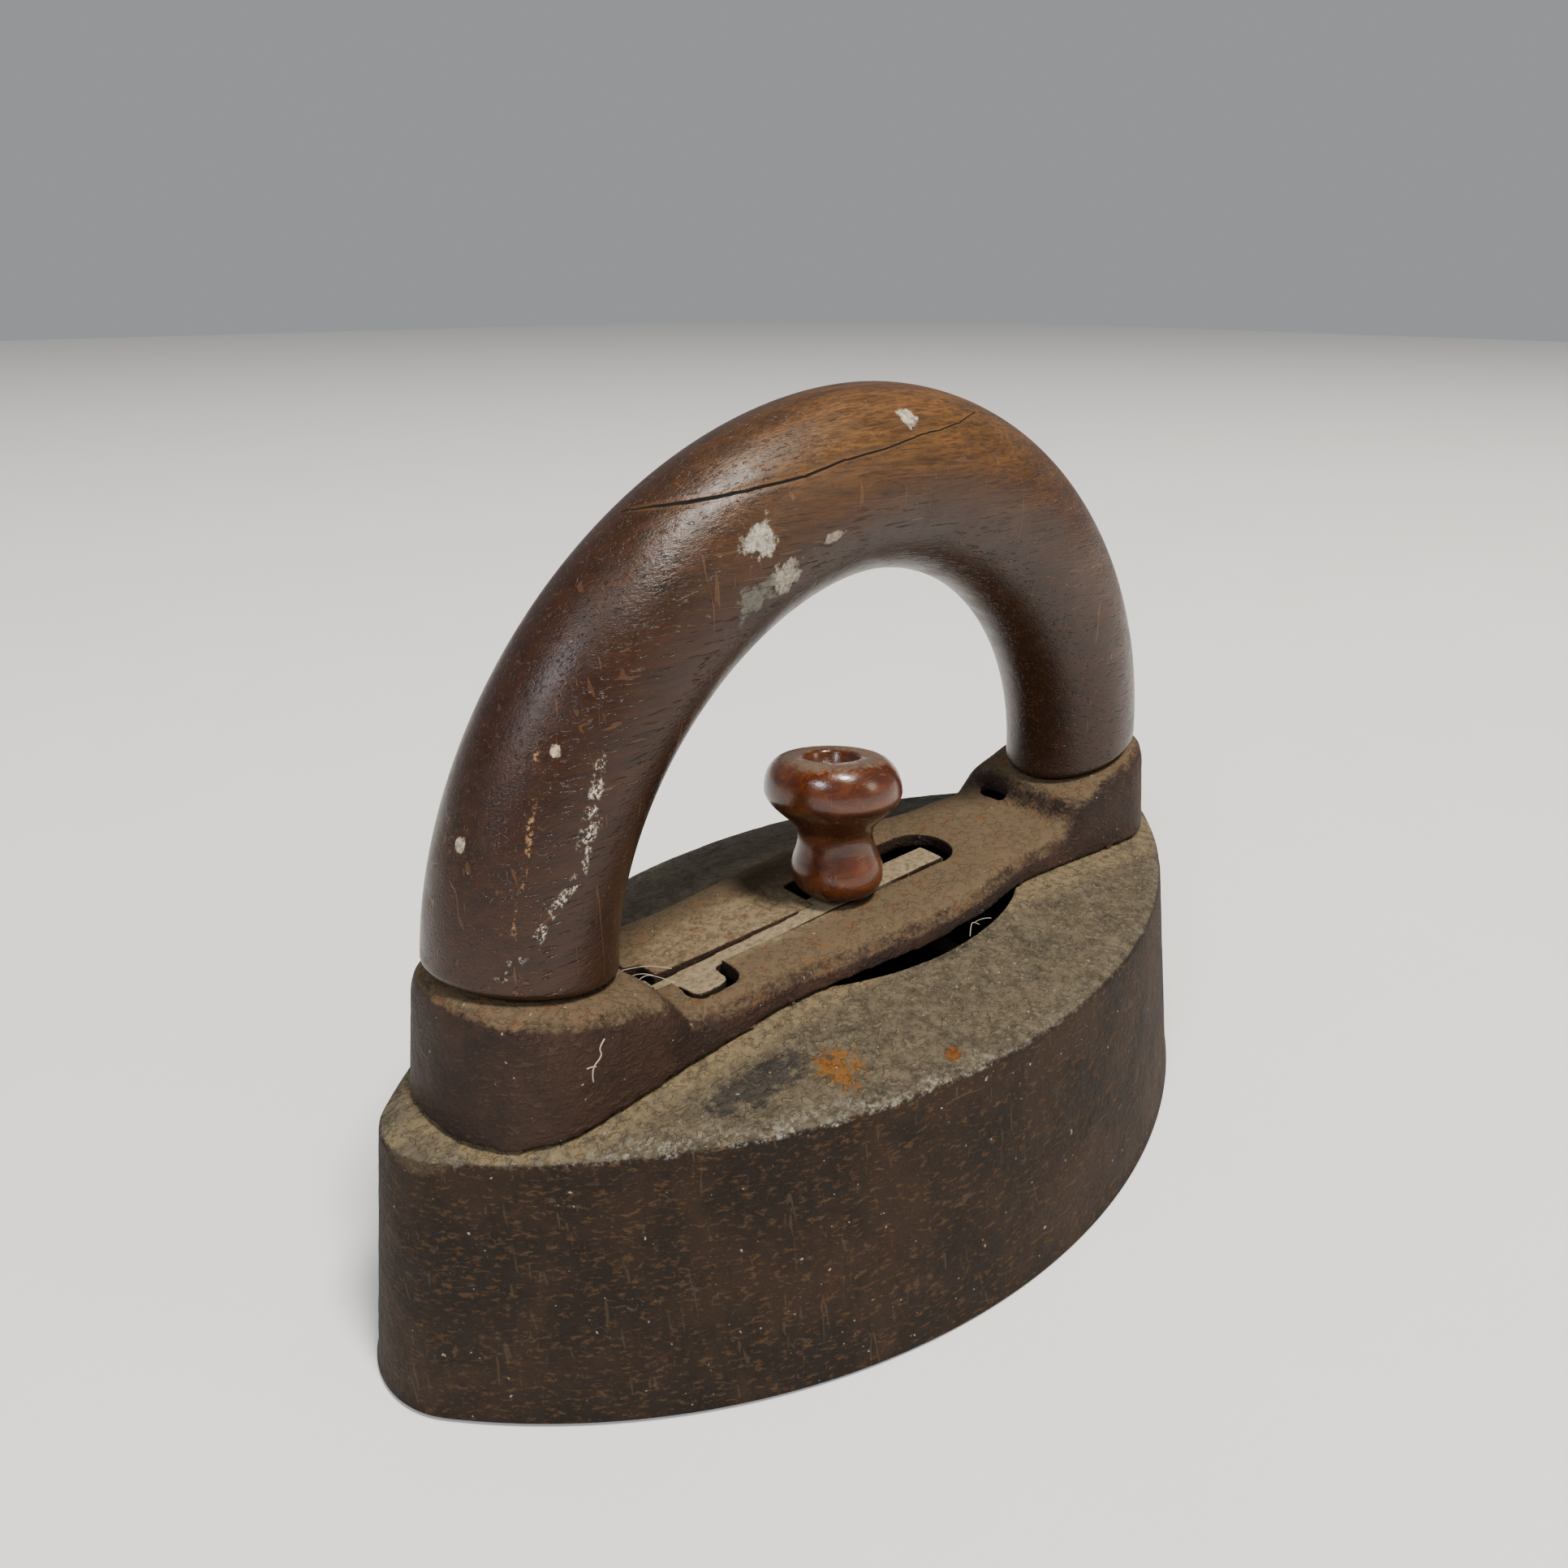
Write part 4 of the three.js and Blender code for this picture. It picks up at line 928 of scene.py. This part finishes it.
def build_knob(settings):
    low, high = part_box("release_knob")
    middle = [(low[i] + high[i]) / 2 for i in range(3)]
    height = high[2] - low[2] + settings.knob_extra_height
    head = (high[1] - low[1]) / 2 - KNOB_HEAD_INSET
    turns = np.linspace(0, 2 * math.pi, KNOB_COLUMNS, endpoint=False)
    rows = []
    for radius, up in knob_profile(height, head):
        shift = up * math.tan(settings.knob_lean) + KNOB_SHIFT
        across_x, across_y = radius * np.cos(turns), radius * np.sin(turns)
        tilt = math.tan(KNOB_TOP_TILT) * max(up / height, 0) ** 1.5
        x = middle[0] + across_x + KNOB_LEAN_TO[0] * shift
        y = middle[1] + across_y + KNOB_LEAN_TO[1] * shift
        z = low[2] + KNOB_LIFT + up - tilt * (KNOB_TILT_TO[0] * across_x + KNOB_TILT_TO[1] * across_y)
        rows.append(np.stack([x, y, z], axis=1))
    piece = wrapped_sheet("turned_knob", rows)
    varnish = knob_varnish(settings.knob_dark, settings.knob_light)
    hand_over(piece, "latch", "knob_wood", varnish, "release_knob")


# ---- lever, fittings ----
def lever_reshaped(place):
    """Lifts the lever level with the saddle and draws its lobe back from the end of the notch."""
    x, y, z = place
    if z > LEVER_TOP_ABOVE:
        z += LEVER_RISE * part_way(x, LEVER_RISE_START, LEVER_RISE_RUN)
    if y < LOBE_BESIDE_Y:
        z += LOBE_RISE
        if x > LOBE_END_X:
            x -= LOBE_DRAWN_BACK
    return Vector((x, y, z))


def build_lever(settings):
    piece = softened("latch_lever", "latch_lever_plate", voxel=0.22 * MM, rounds=5, reshape=lever_reshaped)
    roughen(piece, size=2.5 * MM, depth=settings.casting_depth * 0.6)
    steel = plain_steel("Dusty lever steel", shade(58, 46, 35), shade(84, 70, 52), 0.85)
    hand_over(piece, "latch", "lever_steel", steel, "latch_lever")


# Each fitting with the voxel size that its copy is remeshed at, in millimetres.
DULL_FITTINGS = {
    "front_grip_screw": 0.2, "rear_grip_screw": 0.2, "front_screw_washer": 0.2, "rear_screw_washer": 0.2,
    "front_hook_rivet_left": 0.15, "front_hook_rivet_right": 0.15, "rear_hook_rivet_left": 0.15,
    "rear_hook_rivet_right": 0.15, "lever_pivot_pin": 0.15,
}
DARK_FITTINGS = {
    "front_catch_bar": 0.3, "rear_catch_bar": 0.3, "knob_screw": 0.15, "knob_washer": 0.15, "knob_nut": 0.15,
    "front_hook": 0.25, "rear_hook": 0.25, "latch_spring": 0.09,
}


def build_fittings(settings):
    dull = plain_steel("Dull fitting steel", shade(44, 38, 32), shade(78, 70, 59), 0.6)
    dark = plain_steel("Dark oxide steel", shade(26, 22, 19), shade(48, 41, 34), 0.6)
    finishes = ((DULL_FITTINGS, "dull_steel", dull), (DARK_FITTINGS, "dark_steel", dark))
    for fittings, slot_name, steel in finishes:
        for node, voxel in fittings.items():
            piece = softened(node, f"worn_{node}", voxel * MM, rounds=2)
            body = next(name for name, members in BODY_NODES.items() if node in members)
            hand_over(piece, body, slot_name, steel, node)


# ---- lint ----
# Each strand is a few places in millimetres with its thickness.
STRANDS = {
    "pale_hair": ("handle", 0.16, [
        (-54.4, -16.15, 50.2), (-55.4, -16.3, 49.5), (-54.9, -16.35, 48.3), (-56.6, -16.35, 47.2),
        (-56.3, -16.2, 45.2),
    ]),
    "pale_hair_end": ("handle", 0.14, [(-55.9, -16.35, 47.2), (-56.4, -16.45, 47.6), (-57.1, -16.35, 47.5)]),
    "slot_fibre_long": ("handle", 0.12, [
        (-41.5, 0.6, 45.6), (-39.6, -0.9, 46.2), (-37.6, -1.7, 45.9), (-35.6, -3.1, 45.3),
    ]),
    "slot_fibre_short": ("handle", 0.1, [(-42.0, -1.4, 45.4), (-40.2, -1.9, 46.4), (-38.6, -3.4, 45.6)]),
    "slot_fibre_curl": ("handle", 0.1, [
        (-41.8, -3.2, 45.3), (-40.2, -3.0, 46.3), (-38.6, -4.4, 46.0), (-37.4, -6.2, 45.4),
    ]),
    "pocket_fibre": ("iron", 0.12, [
        (10.6, -17.5, 40.4), (9.6, -17.0, 41.2), (8.2, -17.8, 41.0), (6.8, -18.9, 40.5),
    ]),
    "pocket_fibre_end": ("iron", 0.1, [(10.2, -16.8, 40.5), (10.8, -17.6, 41.6), (12.3, -18.3, 41.2)]),
}


def lint_fibre():
    """Pale dusty thread."""
    material, recipe, place, _ = start_material("Lint fibre")
    tone = recipe.mix(recipe.noise(place, 0.0012, 2.0, 0.5), shade(120, 110, 94), shade(190, 180, 162))
    fuzz = recipe.noise(place, 0.0002)
    finish_material(recipe, tone, recipe.step(fuzz, 0, 1, 0.7, 0.9), fuzz, 0.00004)
    return material


def build_lint(settings):
    fibre = lint_fibre()
    for name, (body, thickness, places) in STRANDS.items():
        curve = bpy.data.curves.new(name, "CURVE")
        curve.dimensions = "3D"
        curve.bevel_depth = thickness * MM / 2
        curve.bevel_resolution = 2
        curve.use_fill_caps = True
        line = curve.splines.new("NURBS")
        line.points.add(len(places) - 1)
        for point, place in zip(line.points, places):
            point.co = (*(value * MM for value in place), 1)
        line.use_endpoint_u = True
        line.order_u = 3
        strand = bpy.data.objects.new(name, curve)
        bpy.context.collection.objects.link(strand)
        make_active(strand)
        bpy.ops.object.convert(target="MESH")
        strand = bpy.context.object
        weld(strand, 1e-7)
        hand_over(strand, body, "dull_steel", fibre)


# ---- stage ----
def aim(thing, target, roll=0.0):
    way = Vector(target) - thing.location
    thing.rotation_euler = way.to_track_quat("-Z", "Y").to_euler()
    thing.rotation_euler.rotate_axis("Z", roll)


def add_light(name, place, target, size, power, tint):
    light = bpy.data.lights.new(name, "AREA")
    light.shape = "DISK"
    light.size = size
    light.energy = power
    light.color = tint
    thing = bpy.data.objects.new(name, light)
    bpy.context.collection.objects.link(thing)
    thing.location = place
    aim(thing, target)


def build_stage(settings):
    clear_selection()
    bpy.ops.mesh.primitive_plane_add(size=6, location=(0, 0, 0))
    floor = bpy.context.object
    floor.name = "pale_floor"
    material, recipe, place, _ = start_material("Pale floor")
    tone = recipe.mix(recipe.noise(place, 0.05, 3.0, 0.5), shade(226, 224, 220), shade(231, 229, 226))
    roughness = recipe.step(recipe.noise(place, 0.02), 0, 1, 0.6, 0.7)
    finish_material(recipe, tone, roughness, recipe.noise(place, 0.004), 0.00005)
    floor.data.materials.append(material)
    add_light("Overhead key", (0.05, -0.9, 2.05), (0, 0, 0.04), 0.5, 88.0, (1.0, 0.95, 0.87))
    add_light("Cool window", (-1.3, -0.5, 1.15), (0, 0, 0.05), 0.45, 16.0, (0.88, 0.93, 1.0))
    add_light("Warm side", (0.8, -1.3, 0.6), (0, 0, 0.04), 0.5, 5.0, (1.0, 0.86, 0.68))
    world = bpy.data.worlds.new("Pale room")
    bpy.context.scene.world = world
    world.use_nodes = True
    glow = world.node_tree.nodes["Background"].inputs
    glow["Color"].default_value = shade(226, 229, 234)
    glow["Strength"].default_value = 0.42
    camera = bpy.data.objects.new("Camera", bpy.data.cameras.new("Camera"))
    bpy.context.collection.objects.link(camera)
    camera.data.lens = CAMERA_LENS
    camera.data.sensor_width = 36
    camera.data.clip_start = 0.01
    camera.location = CAMERA_AT
    aim(camera, CAMERA_TOWARDS, CAMERA_ROLL)
    bpy.context.scene.camera = camera


# ---- add-on ----
def tone_setting(name, tone):
    description = f"{name} tone of the finish"
    return bpy.props.FloatVectorProperty(
        name=name, description=description, default=tone, size=4, min=0, max=1, subtype="COLOR",
    )


class SadIronSettings(bpy.types.PropertyGroup):
    casting_depth: bpy.props.FloatProperty(
        name="Casting unevenness", description="Depth of the dips in the cast surfaces",
        default=CASTING_DEPTH, unit="LENGTH", subtype="DISTANCE",
    )
    crack_depth: bpy.props.FloatProperty(
        name="Crack depth", description="Depth of the split across the top of the grip",
        default=CRACK_DEPTH, unit="LENGTH", subtype="DISTANCE",
    )
    knob_lean: bpy.props.FloatProperty(
        name="Knob lean", description="How far the knob leans from upright",
        default=KNOB_LEAN, unit="ROTATION", subtype="ANGLE",
    )
    knob_extra_height: bpy.props.FloatProperty(
        name="Knob extra height", description="How much taller the knob is than its plain solid",
        default=KNOB_EXTRA_HEIGHT, unit="LENGTH", subtype="DISTANCE",
    )
    iron_dark: tone_setting("Darker iron", shade(25, 17, 10))
    iron_light: tone_setting("Lighter iron", shade(42, 28, 17))
    grip_dark: tone_setting("Darker grip", shade(31, 15, 6))
    grip_light: tone_setting("Lighter grip", shade(46, 23, 9))
    knob_dark: tone_setting("Darker knob", shade(58, 26, 9))
    knob_light: tone_setting("Lighter knob", shade(80, 38, 13))


class SADIRON_OT_iron_body(bpy.types.Operator):
    """Build the solid cast body with its roof and pocket"""
    bl_idname = "sadiron.iron_body"
    bl_label = "Iron body"

    def execute(self, context):
        build_iron_body(context.scene.sad_iron)
        return {"FINISHED"}


class SADIRON_OT_saddle(bpy.types.Operator):
    """Build the cast saddle that carries the grip"""
    bl_idname = "sadiron.saddle"
    bl_label = "Saddle"

    def execute(self, context):
        build_saddle(context.scene.sad_iron)
        return {"FINISHED"}


class SADIRON_OT_grip(bpy.types.Operator):
    """Build the arched wooden grip with its crack"""
    bl_idname = "sadiron.grip"
    bl_label = "Grip"

    def execute(self, context):
        build_grip(context.scene.sad_iron)
        return {"FINISHED"}


class SADIRON_OT_knob(bpy.types.Operator):
    """Build the turned release knob"""
    bl_idname = "sadiron.knob"
    bl_label = "Knob"

    def execute(self, context):
        build_knob(context.scene.sad_iron)
        return {"FINISHED"}


class SADIRON_OT_lever(bpy.types.Operator):
    """Build the latch lever"""
    bl_idname = "sadiron.lever"
    bl_label = "Latch lever"

    def execute(self, context):
        build_lever(context.scene.sad_iron)
        return {"FINISHED"}


class SADIRON_OT_fittings(bpy.types.Operator):
    """Build the bars, hooks, rivets, screws, washers, nut, pin and spring"""
    bl_idname = "sadiron.fittings"
    bl_label = "Fittings"

    def execute(self, context):
        build_fittings(context.scene.sad_iron)
        return {"FINISHED"}


class SADIRON_OT_lint(bpy.types.Operator):
    """Lay the hairs and fibres that are caught in the gaps"""
    bl_idname = "sadiron.lint"
    bl_label = "Lint"

    def execute(self, context):
        build_lint(context.scene.sad_iron)
        return {"FINISHED"}


class SADIRON_OT_stage(bpy.types.Operator):
    """Set up the floor, the lights and the camera"""
    bl_idname = "sadiron.stage"
    bl_label = "Stage"

    def execute(self, context):
        build_stage(context.scene.sad_iron)
        return {"FINISHED"}


OPERATORS = (
    SADIRON_OT_iron_body, SADIRON_OT_saddle, SADIRON_OT_grip, SADIRON_OT_knob, SADIRON_OT_lever,
    SADIRON_OT_fittings, SADIRON_OT_lint, SADIRON_OT_stage,
)


class SADIRON_PT_panel(bpy.types.Panel):
    """Lists the builders of the sad iron's pieces"""
    bl_idname = "SADIRON_PT_panel"
    bl_label = "Sad Iron"
    bl_space_type = "VIEW_3D"
    bl_region_type = "UI"
    bl_category = "Sad Iron"

    def draw(self, context):
        settings = context.scene.sad_iron
        for name in SadIronSettings.__annotations__:
            self.layout.prop(settings, name)
        for operator in OPERATORS:
            self.layout.operator(operator.bl_idname)


def register():
    for item in (SadIronSettings, *OPERATORS, SADIRON_PT_panel):
        bpy.utils.register_class(item)
    bpy.types.Scene.sad_iron = bpy.props.PointerProperty(type=SadIronSettings)


def unregister():
    del bpy.types.Scene.sad_iron
    for item in (SADIRON_PT_panel, *reversed(OPERATORS), SadIronSettings):
        bpy.utils.unregister_class(item)


def make_node_groups():
    make_casting_skin_group()
    make_settled_dust_group()
    make_ragged_spot_group()
    make_long_grain_group()
    make_wear_group()


def main():
    register()
    make_node_groups()
    bpy.ops.sadiron.iron_body()
    bpy.ops.sadiron.saddle()
    bpy.ops.sadiron.grip()
    bpy.ops.sadiron.knob()
    bpy.ops.sadiron.lever()
    bpy.ops.sadiron.fittings()
    bpy.ops.sadiron.lint()
    bpy.ops.sadiron.stage()
    clear_selection()


if __name__ == "__main__":
    main()
